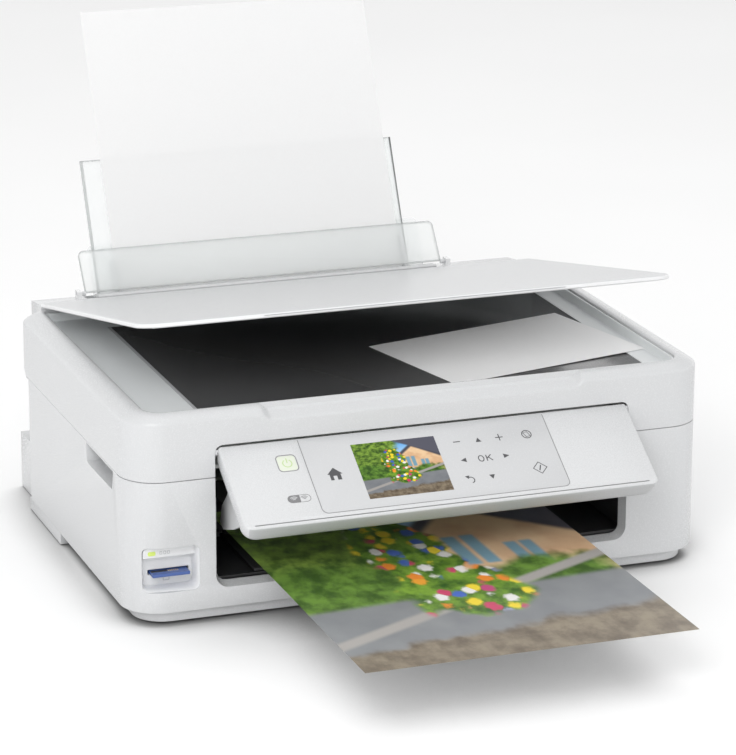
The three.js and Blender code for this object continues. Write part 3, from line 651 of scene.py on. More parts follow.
def panel_body():
    """A shallow slab in rounded plan, with a soft front edge and a wider rounding at the back."""
    back = 9.4
    rows = [
        (3.2, PANEL_FACE + 0.02, 0), (1.4, PANEL_FACE, 0), (0.75, PANEL_FACE + 0.15, 0),
        (0.25, PANEL_FACE + 0.6, 0), (0.0, PANEL_FACE + 1.3, 0), (0.0, 1.6, 0.8), (0.0, 5.0, 2.0),
        (0.25, 7.6, 3.4), (0.8, 8.7, 3.8), (1.7, 9.25, 4.0), (2.8, back, 4.0),
    ]
    rings = []
    for inset, y, more in rows:
        low, high = max(5.2 + more - inset, 1.0), max(1.6 - inset, 0.4)
        outline = rounded(-PANEL_HALF + inset, PANEL_HALF - inset, panel_z(67) + inset,
                          panel_z(0) - inset * 0.5, low, high, 8)
        rings.append([(x, y, z) for x, z in outline])
    body = make("panel_body", loops(rings), PANEL_WHITE, "panel", ["panel_shell"],
                PANEL, sharp=40)
    groove = prism(rounded(-131.2, 131, panel_z(64.75), panel_z(64.05), 0.34, 0.34, 4),
                   PANEL_FACE - 1, PANEL_FACE + 1.1, "xz")
    hollow = prism(rounded(-134.2, 134.2, panel_z(64.0), panel_z(3.6), 3, 1, 4), 0.9, back + 2, "xz")
    cut(body, [groove, hollow], PANEL)
    # painted shade on the panel's lower end face
    paint(body, PANEL_LIP_SHADE, PANEL, (0, 0, -1), 0.8, 1.01)
    # A dark floor in the groove along the bottom of the face: painted shade.
    floor = prism(rounded(-131.0, 130.8, panel_z(64.7), panel_z(64.1), 0.3, 0.3, 4),
                  PANEL_FACE + 0.75, PANEL_FACE + 1.4, "xz")
    make("panel_groove_shade", floor, GAP_SHADOW_GREY, "panel", at=PANEL)
    cover = rounded(-133.9, 133.9, panel_z(63.7), panel_z(3.9), 3, 1, 4)
    make("panel_back_cover", prism(cover, 7.9, 8.7, "xz", 0.2), WHITE_DIM, "panel",
         at=PANEL)
    for side in (-1, 1):
        low, high = sorted((side * 130.6, side * 128.4))
        arm = [(8.4, -16), (30, -13), (42, -9.8), (55, -12.8), (53.5, -20), (38, -33), (8.4, -52)]
        plate = prism(arm, low, high, "yz", 0.3)
        make("panel_arm_left" if side < 0 else "panel_arm_right", plate, WHITE_DIM, "panel", at=PANEL)


# Places on the panel's face: x, and v measured down from its top edge.
FILM = {"x0": -86.0, "x1": 78.5, "bottom": 61.0, "top": 1.3, "radius": 4.0}
SCREEN = {"x0": -53.6, "x1": 2.0, "bottom": 53.8, "top": 9.7}
POWER_KEY = {"x0": -103.4, "x1": -91.6, "bottom": 24.6, "top": 12.8}
GAP = 0.22                       # half the gap between the two fields of the film
FILM_FACE = PANEL_FACE - 0.04
FILM_HALF = 136.0
FILM_CORNER = 4.4
MARK_HEIGHT = 0.05
BADGE_LIFT = 0.03
KEY_SIGN_LIFT = 0.1


def grown(place, by=0.0):
    """A place on the panel grown on all sides, as the x and z limits of an outline."""
    return (place["x0"] - by, place["x1"] + by, panel_z(place["bottom"] + by),
            panel_z(place["top"] - by))


def lifted(obj, out):
    """Moves a piece of the panel outward, clear of the face below it."""
    step = (ROW @ PANEL).to_3x3() @ Vector((0, -out, 0))
    obj.data.transform(Matrix.Translation(step))


def film_plates():
    """The face film: a printed grey middle field, and the white field around it."""
    low, high = FILM_FACE, PANEL_FACE + 0.6
    x0, x1, z0, z1 = grown(FILM)
    r = FILM["radius"]
    middle = rounded(x0 + GAP, x1 - GAP, z0 + GAP, z1, r - GAP, 0.3, 6)
    plate = make("panel_middle_film", prism(middle, low, high, "xz", 0.08), PANEL_GREY, "panel",
                 ["panel_face"], PANEL)
    turn_x, turn_z = FILM_HALF - FILM_CORNER, panel_z(63.6) + FILM_CORNER
    outer = [
        (-FILM_HALF, z1), *arc(-turn_x, turn_z, FILM_CORNER, 180, 270, 5),
        *arc(turn_x, turn_z, FILM_CORNER, 270, 360, 5), (FILM_HALF, z1), (x1 + GAP, z1),
        *arc(x1 - r, z0 + r, r + GAP, 0, -90, 6), *arc(x0 + r, z0 + r, r + GAP, 270, 180, 6),
        (x0 - GAP, z1),
    ]
    white = make("panel_white_film", prism(outer, low, high, "xz", 0.08), PANEL_WHITE, "panel",
                 at=PANEL)
    key_hole = rounded(*grown(POWER_KEY, 0.7), 2.6, 2.6, 6)
    cut(white, [prism(key_hole, PANEL_FACE - 1, PANEL_FACE + 2, "xz")], PANEL)
    window = rounded(*grown(SCREEN, 0.1), 0.3, 0.3, 2)
    cut(plate, [prism(window, PANEL_FACE - 1, PANEL_FACE + 2, "xz")], PANEL)


def mark(points):
    """A printed mark on the film: a thin raised outline, in x and v."""
    flat = [(x, panel_z(v)) for x, v in points]
    return prism(flat, FILM_FACE - MARK_HEIGHT, FILM_FACE + MARK_HEIGHT, "xz")


def stroke(points, width=0.45, close=False):
    """A printed line of even width along points in x and v."""
    pts = [Vector(p) for p in points]
    count = len(pts)
    left, right = [], []
    for i, p in enumerate(pts):
        before = pts[i - 1] if (i or close) else p
        after = pts[(i + 1) % count] if (i < count - 1 or close) else p
        along = (after - before).normalized()
        side = Vector((-along.y, along.x)) * (width / 2)
        left.append(tuple(p + side))
        right.append(tuple(p - side))
    if not close:
        return [mark(left + right[::-1])]
    quads = []
    for i in range(count):
        j = (i + 1) % count
        quads.append(mark([left[i], left[j], right[j], right[i]]))
    return quads


def film_shade_lines():
    """Painted shade: a dark line along the border of the grey middle field, over the gap between the two
    fields, and a dark ring over the gap round the power key.
    """
    x0, x1, bottom, r = FILM["x0"], FILM["x1"], FILM["bottom"], FILM["radius"]
    border = [(x0, 1.6), *arc(x0 + r, bottom - r, r, 180, 90, 6), *arc(x1 - r, bottom - r, r, 90, 0, 6),
              (x1, 1.6)]
    make("field_shade_line", stroke(border, 0.36), MARK_GREY, "panel", at=PANEL)
    # dark ring over the gap round the key's cap: painted shade
    key_shade_ring = rounded(POWER_KEY["x0"] - 0.55, POWER_KEY["x1"] + 0.55, POWER_KEY["top"] - 0.55,
                         POWER_KEY["bottom"] + 0.55, 2.9, 2.9, 6)
    make("power_key_shade_ring", stroke(key_shade_ring, 0.5, close=True), MARK_GREY, "panel", at=PANEL)


def key_marks():
    """The signs of the eleven keys that lie under the film."""
    marks = []
    # home
    marks.append(mark([(-75, 31.4), (-70, 26.2), (-65, 31.4), (-66.4, 31.4), (-66.4, 36), (-69, 36),
                       (-69, 32.6), (-71.4, 32.6), (-71.4, 36), (-73.6, 36), (-73.6, 31.4)]))
    # minus and plus
    marks += stroke([(13.2, 16.5), (17.8, 16.5)], 0.7)
    marks += stroke([(41.6, 16.5), (46.8, 16.5)], 0.65)
    marks += stroke([(44.2, 13.8), (44.2, 19.2)], 0.65)
    # arrows
    marks.append(mark([(28.0, 18.4), (29.9, 14.9), (31.8, 18.4)]))
    marks.append(mark([(28.0, 45.4), (31.8, 45.4), (29.9, 48.9)]))
    marks.append(mark([(17.2, 29.9), (17.2, 33.5), (13.5, 31.7)]))
    marks.append(mark([(42.4, 29.9), (46.2, 31.7), (42.4, 33.5)]))
    # OK
    turns = [math.radians(a) for a in range(0, 360, 24)]
    ring = [(27.2 + 1.75 * math.cos(a), 31.8 + 2.3 * math.sin(a)) for a in turns]
    marks += stroke(ring, 0.65, close=True)
    marks += stroke([(30.9, 29.4), (30.9, 34.2)], 0.7)
    marks += stroke([(34.2, 29.4), (31.2, 32.1)], 0.65)
    marks += stroke([(32.1, 31.3), (34.5, 34.2)], 0.65)
    # back
    marks += stroke(arc(15.2, 47.9, 2.3, -110, 80, 12), 0.65)
    marks.append(mark([(12.0, 44.6), (15.0, 44.2), (14.0, 47.0)]))
    # stop: a slanted box in a ring
    marks += stroke(arc(63, 16.5, 3.1, 0, 345, 23), 0.6, close=True)
    marks += stroke([(60.9, 15.2), (63.6, 14.4), (65.1, 17.8), (62.4, 18.6)], 0.5, close=True)
    # start: a line in a diamond
    marks += stroke([(63, 39.7), (67.6, 44.3), (63, 48.9), (58.4, 44.3)], 0.7, close=True)
    marks += stroke([(62.1, 46.4), (63.9, 42.2)], 0.75)
    make("key_marks", marks, INK_GREY, "panel", at=PANEL)


def signal_arcs(x):
    """Three arcs over one point of the badge."""
    arcs = []
    for radius in (1.1, 2.1, 3.1):
        arcs += stroke(arc(x, 48.6, radius, 225, 315, 6), 0.45)
    return arcs


def radio_badge():
    """A plain pill: one dark half and one outlined half, with the usual signal arcs."""
    x0, middle, x1, v0, v1 = -105.4, -97.4, -90.2, 44.2, 50.2
    r = (v1 - v0) / 2
    centre = (v0 + v1) / 2
    left = arc(x0 + r, centre, r, 90, 270, 10) + [(middle, v0), (middle, v1)]
    right = [(middle, v0 + 0.2), *arc(x1 - r, centre, r - 0.2, -90, 90, 10), (middle, v1 - 0.2)]
    marks = [mark(left)] + stroke(right, 0.4, close=True) + signal_arcs(-94.4)
    make("radio_badge", marks, MARK_GREY, "panel", at=PANEL)
    light = make("radio_badge_light", signal_arcs(-101.2), PANEL_WHITE, "panel", at=PANEL)
    lifted(light, BADGE_LIFT)


def power_key():
    """The key's cap in its hole in the film, with the power sign."""
    outline = rounded(*grown(POWER_KEY), 2.2, 2.2, 6)
    key = prism(outline, PANEL_FACE - 0.15, PANEL_FACE + 3.2, "xz", 0.25, 3)
    make("power_key_cap", key, KEY_GREEN, "power_key", ["power_key"], PANEL)
    ring = arc(-97.5, 18.9, 2.9, -58, 238, 20)
    marks = stroke(ring, 0.65) + stroke([(-97.5, 14.9), (-97.5, 18.6)], 0.65)
    sign = make("power_key_sign", marks, MARK_GREEN, "power_key", at=PANEL)
    lifted(sign, KEY_SIGN_LIFT)


panel_body()
film_plates()
film_shade_lines()
key_marks()
radio_badge()
power_key()
for node in ("home_key", "minus_key", "up_key", "plus_key", "stop_key", "left_key", "ok_key",
             "right_key", "back_key", "down_key", "start_key"):
    keep(node, DARK, 0.3)

# ---- Pictures ----


HUES = {
    "horizon": (0.60, 0.74, 0.86), "zenith": (0.16, 0.44, 0.80),
    "leaf_shade": (0.035, 0.085, 0.015), "leaf": (0.30, 0.46, 0.08),
    "leaf_tip": (0.52, 0.56, 0.12),
    "wall_shade": (0.66, 0.42, 0.25), "wall": (0.82, 0.60, 0.38), "pane": (0.22, 0.38, 0.47),
    "eaves": (0.10, 0.10, 0.12), "roof": (0.13, 0.13, 0.16),
    "hedge_shade": (0.05, 0.11, 0.02), "hedge": (0.16, 0.30, 0.05),
    "path_shade": (0.21, 0.22, 0.235), "path": (0.27, 0.28, 0.29), "kerb": (0.40, 0.38, 0.36),
    "bark_shade": (0.13, 0.10, 0.07), "bark": (0.30, 0.25, 0.18),
    "stem_shade": (0.03, 0.10, 0.015), "stem": (0.24, 0.42, 0.05),
}
# Petal colours, each with the random tint above which it takes over from the one before.
PETALS = [
    (0.28, (0.85, 0.27, 0.04)), (0.45, (0.86, 0.84, 0.82)), (0.60, (0.08, 0.16, 0.55)),
    (0.78, (0.62, 0.07, 0.16)),
]
FIRST_PETAL = (0.90, 0.70, 0.05)
PANES = [                        # low and high u, low and high v
    (0.585, 0.63, 0.50, 0.68), (0.645, 0.69, 0.50, 0.68), (0.75, 0.79, 0.46, 0.61),
    (0.80, 0.84, 0.46, 0.61),
]
SCREEN_GLOW = 1.15
SCREEN_DEPTH = 1.15              # gamma that deepens the picture on the display


def landscape(name, corner, across, up, gloss, lit):
    """A generic garden scene: sky, trees, a gabled wall, bushes and a path. Corner, across and up
    are the picture's lower left corner and its two edges, in the row frame."""
    n = Nodes(name)
    position = n.position()

    def share(edge):
        node = n.add("ShaderNodeVectorMath", operation="DOT_PRODUCT")
        n.link(position, node.inputs[0])
        node.inputs[1].default_value = edge / edge.length_squared
        return n.math("SUBTRACT", node.outputs["Value"], corner.dot(edge) / edge.length_squared)

    u, v = share(across), share(up)
    flat = n.add("ShaderNodeCombineXYZ")
    n.link(u, flat.inputs[0])
    n.link(v, flat.inputs[1])
    plane = flat.outputs[0]
    soft = n.noise(7.0, 3.0, plane)
    fine = n.noise(14.0, 5.0, plane, 0.62)
    wobble = n.math("MULTIPLY_ADD", soft, 0.16, -0.08)
    uw, vw = n.math("ADD", u, wobble), n.math("ADD", v, wobble)

    def half(a, b, c, edge=0.02, us=u, vs=v):
        """1 where a*u + b*v is over c."""
        line = n.math("ADD", n.math("MULTIPLY", us, a), n.math("MULTIPLY", vs, b))
        return n.ramp(line, c - edge, c + edge)

    def both(*masks):
        result = masks[0]
        for mask in masks[1:]:
            result = n.math("MULTIPLY", result, mask)
        return result

    def blob(cu, cv, ru, rv, edge=0.25):
        """1 inside a wavering ellipse about cu, cv."""
        du = n.math("DIVIDE", n.math("SUBTRACT", uw, cu), ru)
        dv = n.math("DIVIDE", n.math("SUBTRACT", vw, cv), rv)
        squared = n.math("ADD", n.math("MULTIPLY", du, du), n.math("MULTIPLY", dv, dv))
        return n.ramp(n.math("SQRT", squared), 1.0 + edge, 1.0 - edge)

    sky = n.mix(n.ramp(v, 0.6, 1.0), HUES["horizon"], HUES["zenith"])
    leaves = n.mix(n.ramp(fine, 0.3, 0.72), HUES["leaf_shade"], HUES["leaf"])
    leaves = n.mix(n.ramp(fine, 0.62, 0.85), leaves, HUES["leaf_tip"])
    image = n.mix(both(half(-1, 0.2, -0.34, 0.05, uw, vw)), sky, leaves)
    # gabled wall with two pairs of windows, under a dark roof edge
    wall_tone = n.mix(n.ramp(soft, 0.3, 0.7), HUES["wall_shade"], HUES["wall"])
    roof = both(half(-0.75, -1, -1.46), half(0.95, -1, -0.26), half(0, 1, 0.3), half(1, 0, 0.42))
    image = n.mix(roof, image, HUES["eaves"])
    gable = both(half(-0.75, -1, -1.38), half(0.95, -1, -0.20), half(0, 1, 0.3), half(1, 0, 0.46))
    image = n.mix(gable, image, wall_tone)
    for low, high, bottom, top in PANES:
        pane = both(half(1, 0, low, 0.008), half(-1, 0, -high, 0.008), half(0, 1, bottom, 0.008),
                    half(0, -1, -top, 0.008))
        image = n.mix(pane, image, HUES["pane"])
    slope = both(half(0.6, 1, 1.28, 0.02), half(0, 1, 0.62))
    image = n.mix(slope, image, HUES["roof"])
    # hedge, path with a pale kerb, and bark
    hedge = n.mix(n.ramp(fine, 0.35, 0.65), HUES["hedge_shade"], HUES["hedge"])
    image = n.mix(blob(0.80, 0.40, 0.22, 0.10), image, hedge)
    image = n.mix(blob(0.14, 0.46, 0.30, 0.14), image, hedge)
    path = n.mix(n.ramp(soft, 0.2, 0.8), HUES["path_shade"], HUES["path"])
    image = n.mix(half(0.05, -1, -0.33, 0.015), image, path)
    kerb = both(half(0.35, -1, -0.16, 0.01), half(-0.35, 1, 0.12, 0.01))
    image = n.mix(kerb, image, HUES["kerb"])
    bark = n.mix(n.ramp(fine, 0.3, 0.7), HUES["bark_shade"], HUES["bark"])
    image = n.mix(half(0.10, -1, -0.085, 0.02, uw, vw), image, bark)
    # a bush with large flowers in the middle
    cells = n.add("ShaderNodeTexVoronoi")
    n.link(plane, cells.inputs["Vector"])
    cells.inputs["Scale"].default_value = 21.0
    tint = n.add("ShaderNodeSeparateColor")
    n.link(cells.outputs["Color"], tint.inputs[0])
    petals = FIRST_PETAL
    for start, colour in PETALS:
        petals = n.mix(n.ramp(tint.outputs[0], start, start + 0.02), petals, colour)
    ragged = n.math("MULTIPLY_ADD", n.noise(60.0, 2.0, plane), 0.4, -0.2)
    dots = n.ramp(n.math("ADD", cells.outputs["Distance"], ragged), 0.58, 0.32)
    stems = n.mix(n.ramp(fine, 0.3, 0.7), HUES["stem_shade"], HUES["stem"])
    bed = n.mix(dots, stems, petals)
    image = n.mix(blob(0.44, 0.60, 0.14, 0.26, 0.08), image, bed)
    image = n.mix(blob(0.50, 0.36, 0.20, 0.14, 0.10), image, bed)
    if lit:
        deep = n.add("ShaderNodeGamma")
        n.link(image, deep.inputs["Color"])
        deep.inputs["Gamma"].default_value = SCREEN_DEPTH
        return n.finish(n.principled(Base_Color=(0.01, 0.01, 0.012), Roughness=gloss,
                                     Specular_IOR_Level=0.0, Emission_Color=deep.outputs[0],
                                     Emission_Strength=SCREEN_GLOW))
    return n.finish(n.principled(Base_Color=image, Roughness=gloss))


def picture(name, matrix, corner, across, up, gloss, lit=False):
    """The garden scene on a rectangle given by its corner and the ends of its two edges."""
    low, right, high = [ROW @ matrix @ Vector(point) for point in (corner, across, up)]
    return landscape(name, low, right - low, high - low, gloss, lit)


STILL = Matrix.Identity(4)


def screen():
    """The display, level with the film round it."""
    face = PANEL_FACE - 0.02
    x0, x1, z0, z1 = grown(SCREEN)
    look = picture("screen_picture", PANEL, (x0, face, z0), (x1, face, z0), (x0, face, z1), 0.3, lit=True)
    glass = prism(rounded(x0, x1, z0, z1, 0.3, 0.3, 2), face, PANEL_FACE + 3.2, "xz", 0.05)
    make("display_window", glass, look, "panel", ["lcd_screen"], PANEL)


screen()

# ---- Sheets ----


PRINT = {"x0": -117, "x1": 93, "y0": -336, "y1": -39, "z": 41}
SHEET_GRID = (12, 16)            # columns and rows of faces over a sheet


def sheet_shell(x0, x1, y0, y1, thickness, bow):
    """A thin sheet whose height over its rest plane is given by bow(u, v)."""
    columns, rows = SHEET_GRID
    bm = bmesh.new()
    grid = []
    for side in (0, 1):
        layer = []
        for j in range(rows + 1):
            v = j / rows
            line = []
            for i in range(columns + 1):
                u = i / columns
                z = bow(u, v) + side * thickness
                line.append(bm.verts.new((x0 + (x1 - x0) * u, y0 + (y1 - y0) * v, z)))
            layer.append(line)
        grid.append(layer)
    for layer in grid:
        for j in range(rows):
            for i in range(columns):
                bm.faces.new((layer[j][i], layer[j][i + 1], layer[j + 1][i + 1], layer[j + 1][i]))
    border = [(j, 0) for j in range(rows)] + [(rows, i) for i in range(columns)]
    border += [(j, columns) for j in range(rows, 0, -1)] + [(0, i) for i in range(columns, 0, -1)]
    for k, (j, i) in enumerate(border):
        j2, i2 = border[(k + 1) % len(border)]
        bm.faces.new((grid[0][j][i], grid[0][j2][i2], grid[1][j2][i2], grid[1][j][i]))
    return closed(bm)


def sheets():
    """The print in the output, the print on the glass, and the sheet in the feeder."""
    x0, x1, y0, y1, z = PRINT.values()
    shell = sheet_shell(x0, x1, y0, y1, 0.16, lambda u, v: z + 0.24 + 0.1 * math.sin(3 * u + 2 * v) ** 2)
    look = picture("print_picture", STILL, (x0, y0, z), (x1, y0, z), (x0, y1, z), 0.28)
    printed = make("printed_picture_sheet", shell, look, "printed_sheet", ["printed_sheet"])
    paint(printed, PRINT_BACK, STILL, (0, 0, -1), 0.5, 1.01)

    turn = Matrix.Translation((93, -31, GLASS_Z + 0.3)) @ Matrix.Rotation(math.radians(13.1), 4, "Z")
    face_down = sheet_shell(-76, 76, -51, 51, 0.26, lambda u, v: 0.03 * (2 * u - 1) ** 2)
    make("print_on_glass", face_down, PRINT_BACK, "original_sheet", ["original_sheet"], turn)

    upright = FEED @ Matrix.Rotation(math.radians(90), 4, "X")
    loaded = sheet_shell(-105, 105, 0, 297, 0.14, lambda u, v: -0.07 + 0.05 * math.sin(math.pi * u))
    make("loaded_sheet", loaded, PAPER, "feed_sheet", ["feed_sheet"], upright)


sheets()

# ---- Feeder parts ----


def outline_ring(outline, inner, y, depth):
    """A flat frame between two outlines of the same count of points, in x and z."""
    rows = [(outline, y), (inner, y), (inner, y + depth), (outline, y + depth)]
    return loops([[(x, at, z) for x, z in points] for points, at in rows], False, False)


def feeder():
    """The clear plates behind the loaded sheet, and the frosted guard in front of it."""
    support = rounded(-122, 122, 62, 132, 2, 4, 4)
    make("support_plate", prism(support, 2.2, 3.4, "xz", 0.3), SUPPORT, "paper_support",
         ["paper_support"], FEED)
    plate = rounded(-119.5, 110.5, 70, 191.6, 1, 2.5, 4)
    make("support_extension_plate", prism(plate, 0.75, 1.85, "xz", 0.25), SUPPORT, "support_extension",
         ["support_extension"], FEED)
    # ribs along the edges in the greyer clear: painted shade on the plate's edges
    edges = [
        prism(rounded(-119.4, -117.6, 70, 191.4, 0.4, 0.8, 3), 0.45, 1.9, "xz", 0.2),
        prism(rounded(109.4, 110.4, 70, 191.4, 0.4, 0.8, 3), 0.45, 1.9, "xz", 0.2),
        prism(rounded(-119.4, 110.4, 190.8, 191.6, 0.3, 0.3, 3), 0.5, 1.9, "xz", 0.1),
    ]
    make("support_extension_ribs", edges, CLEAR_EDGE_SHADE, "support_extension", at=FEED)
    broad = prism(rounded(105.2, 109.4, 70, 191.4, 0.4, 2.0, 3), 0.45, 1.9, "xz", 0.2)
    make("support_extension_broad_rib", broad, CLEAR, "support_extension", at=FEED)

    face = rounded(-143, 119, 0.2, 31.4, 1.5, 4.0, 6)
    make("guard_flap", prism(face, -1, 1, "xz", 0.35, 3), CLEAR, "feeder_guard", ["feeder_guard"],
         GUARD)
    # thin grey frames on both faces along the guard's edges: painted shade
    outline = rounded(-142.8, 118.8, 0.4, 31.2, 1.4, 3.9, 6)
    inner = rounded(-142.2, 118.2, 1.0, 30.6, 1.0, 3.4, 6)
    rim = [outline_ring(outline, inner, y, 0.06) for y in (-1.03, 0.97)]
    make("guard_edge_shade", rim, CLEAR_EDGE_SHADE, "feeder_guard", at=GUARD)
    pins = [rod("yz", -148.6, -142.6, 0, 0, 1.6), rod("yz", 118.6, 124.6, 0, 0, 1.6)]
    make("guard_pins", pins, WHITE, "feeder_guard", at=GUARD)


feeder()
keep("edge_guide_left", WHITE)
keep("edge_guide_right", WHITE)

# ---- Base ----

EAR_HEIGHT = 4                   # of the guard's ears over everything else on the rear housing
CARD_BAY = {"x0": -186, "x1": -150, "z0": 23, "z1": 52.4}
CARD_BAY_BACK = -112.6
CORNER_ARC = {"x": -170, "y": -100, "radius": 25}   # the housing's front left corner


def guard_ears(housing):
    """Painted light: a lighter white on the two ears that hold the guard's pins."""
    housing.data.materials.append(PAINTED_HIGHLIGHT_WHITE)
    points = housing.data.vertices
    foot = max(point.co.z for point in points) - EAR_HEIGHT * MM
    for face in housing.data.polygons:
        if max(points[i].co.z for i in face.vertices) > foot:
            face.material_index = 1


def rear_strip():
    """The raised strip between the lid hinge and the feeder guard."""
    section = [(148.6, 135.5), (148.6, 139.4), (149.1, 139.9), (150.4, 140.1), (157.5, 139.15),
               (157.5, 135.5)]
    # the strip takes the darker lid white, painted shade
    make("rear_strip", prism(section, -136, 112, "yz", 0.3), SHADED_LID_WHITE, "base")


def bay_walls():
    """Walls of the card bay: they start on the housing's curved face and narrow toward the back."""
    x0, x1, z0, z1 = CARD_BAY.values()
    rings = []
    for inset, back in ((-0.2, 0.5), (0.2, 0.9), (0.8, 2.0), (1.5, 5.0), (1.8, None), (-0.3, None)):
        ring = []
        for x, z in rounded(x0 + inset, x1 - inset, z0 + inset, z1 - inset * 0.4, 3.6, 2.6, 6):
            sideways = max(0.0, CORNER_ARC["x"] - x)
            curve = CORNER_ARC["y"] - math.sqrt(CORNER_ARC["radius"] ** 2 - sideways ** 2)
            ring.append((x, CARD_BAY_BACK if back is None else curve + back, z))
        rings.append(ring)
    # the walls take the lighter bay white, painted light
    make("card_bay_walls", loops(rings, False, False), BAY_PAINTED_LIGHT, "base")


def card_bay():
    """Face of the card reader with its ledge, the access lamp, faint signs, and the card's contacts."""
    bay_walls()
    shell = [
        prism([(-185.9, 23.3), (-150.2, 23.3), (-150.2, 52.2), (-185.9, 52.2)], -113.0, -108, "xz", 0.2),
        prism(rounded(-184.9, -151.1, 44.6, 51.4, 0.5, 2.6), -118.7, -110, "xz", 0.35, 3),
    ]
    # the reader's face takes the lighter bay white, painted light
    face = make("card_reader_face", shell, BAY_PAINTED_LIGHT, "base", ["card_reader"])
    slot = prism(rounded(-180.6, -153.8, 31.8, 35.2, 0.4, 0.4, 3), -116, -100, "xz")
    cut(face, [slot])
    # the case stands under and over the card
    case = [box(-184.6, -151.4, -107.9, -80, low, high, 0.4) for low, high in ((24, 31.6), (35.4, 51))]
    make("card_reader_case", case, DARK, "base")
    lamp = prism(rounded(-181.8, -176.8, 46.2, 48.9, 0.9, 0.9, 4), -119.0, -118, "xz", 0.15)
    make("card_lamp", lamp, LAMP, "base")
    signs = []
    for x in (-174.2, -171.7, -169.2):
        signs += sign_box(x, x + 1.7, 46.6, 46.6 + 2.1, 0.3, -118.78, -118.6)
    signs += sign_box(-170.6, -166.4, 27.2, 30.4, 0.4, -113.08, -112.9)
    make("card_signs", signs, PALE_MARK, "base")
    make("card_label", box(-179.0, -168.4, -116.6, -113.4, 34.25, 34.36, 0.03), BLACK, "memory_card")
    contacts = [box(x, x + 0.7, -116.4, -113.4, 34.25, 34.38, 0.03)
                for x in (-168.0, -166.8, -165.6, -164.4, -163.2, -162.0)]
    make("card_contacts", contacts, GOLD, "memory_card")


def sign_box(x0, x1, z0, z1, width, low, high):
    """A printed rounded box of lines of the given width, in x and z."""
    outline = rounded(x0, x1, z0, z1, 0.3, 0.3, 2)
    inner = rounded(x0 + width, x1 - width, z0 + width, z1 - width, 0.15, 0.15, 2)
    quads = []
    for i in range(len(outline)):
        j = (i + 1) % len(outline)
        quads.append(prism([outline[i], outline[j], inner[j], inner[i]], low, high, "xz"))
    return quads


def seam_backing():
    """White ridge that stands behind the seam along the sides of the housing."""
    for side in (-1, 1):
        low, high = sorted((side * (HALF_WIDTH + 0.02), side * (HALF_WIDTH - 2.2)))
        ridge = box(low, high, -98, SHELL_BACK_Y - 1, SEAM_Z - 1, SEAM_Z - 0.03, 0)
        make("seam_ridge_left" if side < 0 else "seam_ridge_right", ridge, WHITE, "base")


def sockets():
    """Metal shell of the USB socket and the frame of the mains inlet, seen from behind."""
    usb = prism(rounded(154.3, 169.7, 12.6, 25.4, 0.6, 0.6, 3), 174.2, 174.6, "xz", 0.1)
    shell = make("usb_shell", usb, STEEL, "base")
    cut(shell, [prism([(157.2, 14.7), (166.8, 14.7), (166.8, 23.3), (157.2, 23.3)], 170, 176, "xz")])
    tongue = box(159.4, 164.6, 166, 173.5, 17.6, 20.6, 0.2)
    make("usb_tongue", tongue, RUBBER, "base")
    inlet = prism(rounded(-158.2, -137.8, 14.9, 31.1, 1.2, 1.2, 4), 174.2, 174.7, "xz", 0.15)
    rim = make("inlet_rim", inlet, BLACK, "base")
    cut(rim, [prism(rounded(-155.3, -140.7, 18.2, 27.8, 2.5, 2.5, 5), 170, 176, "xz")])
    pins = [rod("xz", 162, 172.5, x, 23, 1.1, 0.2, 12) for x in (-151.0, -145.0)]
    make("inlet_pins", pins, STEEL, "base")


rear_strip()
sockets()
card_bay()
seam_backing()
keep("lower_housing", WHITE, 0.3, 3)
guard_ears(keep("rear_housing", WHITE, 0.5, 3))
keep("rear_cover", WHITE, 0.5)
keep("base_pan", WHITE, 1.2, 3)
for node in ("front_foot_left", "front_foot_right"):
    keep(node, RUBBER, 0.8)
keep("output_liner", BLACK)
keep("platen", DARK)
keep("capping_station", DARK)
keep("print_carriage", BLACK)
keep("power_supply", BLACK)
keep("main_board", BOARD, 0.1)
keep("memory_card", CARD, 0.25)
for colour, look in INKS.items():
    keep(f"{colour}_ink_cartridge", look, 0.6)
for node in ("chassis_plate", "line_feed_roller", "feed_motor", "carriage_motor"):
    keep(node, STEEL, 0.15)
for node in ("exit_roller", "pickup_roller", "feed_belt", "carriage_belt"):
    keep(node, RUBBER, 0.1)
for node in ("feed_pinion", "carriage_pulley"):
    keep(node, DARK, 0.08)
for node in ("tray_base", "tray_extension", "tray_stopper"):
    keep(node, BLACK, 0.4)

# ---- Camera, light and floor ----


EYE = (-0.7509, -2.0824, 0.7789)
VIEW = (0.3272, 0.8997, -0.2892)
ROLL = 0.163                     # degrees
LENS = 166.37
SKY_LOW = 1.40                   # strength of the sky at the horizon
SKY_TOP = 0.6                    # and overhead, above the height SKY_TOP_AT
SKY_TOP_AT = 0.8
LIGHTS = {                       # position, point it looks at, side in metres, watts
    "key": ((-0.85, -1.3, 1.2), (0, -0.05, 0.1), 0.8, 12),
    "top": ((0.2, 0.3, 2.4), (0, 0.05, 0.1), 2.6, 16),
}
FLOOR_RADIUS = 12.0
# Painted contact shadow on the floor: its reach and its darkest tone.
PAINTED_SHADOW_REACH = 0.054            # how far from the object the floor darkens, in metres
PAINTED_SHADOW_TONE = 0.27


def aim(obj, position, forward, roll=0.0):
    turn = Matrix.Rotation(math.radians(roll), 3, "Z").to_quaternion()
    obj.rotation_mode = "QUATERNION"
    obj.rotation_quaternion = forward.to_track_quat("-Z", "Y") @ turn
    obj.location = position


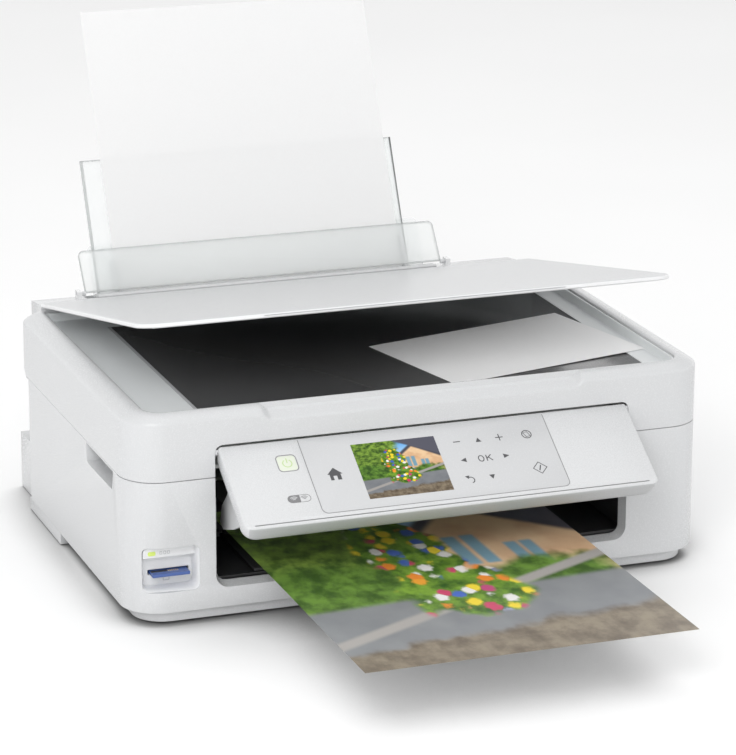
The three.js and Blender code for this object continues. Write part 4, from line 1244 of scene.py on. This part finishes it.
def camera():
    """The camera, placed from the middle of the housing."""
    data = bpy.data.cameras.new("camera")
    data.sensor_width = 36.0
    data.lens = LENS
    data.clip_start = 0.05
    data.clip_end = 30.0
    eye = placed("camera", data)
    aim(eye, Vector(EYE) + Vector((0, SHIFT * MM, 0)), Vector(VIEW), ROLL)
    bpy.context.scene.camera = eye


def area(name, position, target, side, power):
    data = bpy.data.lights.new(name, "AREA")
    data.shape = "SQUARE"
    data.size = side
    data.energy = power
    lamp = placed(name, data)
    aim(lamp, Vector(position), (Vector(target) - Vector(position)).normalized())


def sky():
    """A white sky that is brighter at the horizon than overhead."""
    world = bpy.data.worlds.new("studio")
    world.use_nodes = True
    tree = world.node_tree
    background = tree.nodes["Background"]
    background.inputs["Color"].default_value = (1.0, 1.0, 1.0, 1)
    direction = tree.nodes.new("ShaderNodeTexCoord")
    parts = tree.nodes.new("ShaderNodeSeparateXYZ")
    tree.links.new(direction.outputs["Generated"], parts.inputs[0])
    height = tree.nodes.new("ShaderNodeMapRange")
    for socket, number in zip(list(height.inputs)[1:5], (0.0, SKY_TOP_AT, SKY_LOW, SKY_TOP)):
        socket.default_value = number
    tree.links.new(parts.outputs["Z"], height.inputs[0])
    tree.links.new(height.outputs[0], background.inputs["Strength"])
    bpy.context.scene.world = world


def floor():
    """A pale floor with a painted contact shadow: it darkens where it lies close to the object."""
    bm = bmesh.new()
    bmesh.ops.create_circle(bm, cap_ends=True, segments=96, radius=FLOOR_RADIUS)
    mesh = bpy.data.meshes.new("floor")
    bm.to_mesh(mesh)
    bm.free()
    n = Nodes("floor_white")
    tone = n.mix(n.ramp(n.noise(3.0), 0.3, 0.7), grey(0.94), grey(0.955))
    # painted shadow: an occlusion node darkens the floor near the object
    corner = n.add("ShaderNodeAmbientOcclusion", samples=32)
    corner.inputs["Distance"].default_value = PAINTED_SHADOW_REACH
    tone = n.mix(n.ramp(corner.outputs["AO"], 0.2, 0.85), grey(PAINTED_SHADOW_TONE), tone)
    mesh.materials.append(n.finish(n.principled(Base_Color=tone, Roughness=0.9)))
    placed("floor", mesh)


camera()
sky()
for name, settings in LIGHTS.items():
    area(name, *settings)
bpy.context.scene.view_settings.view_transform = "Standard"
floor()
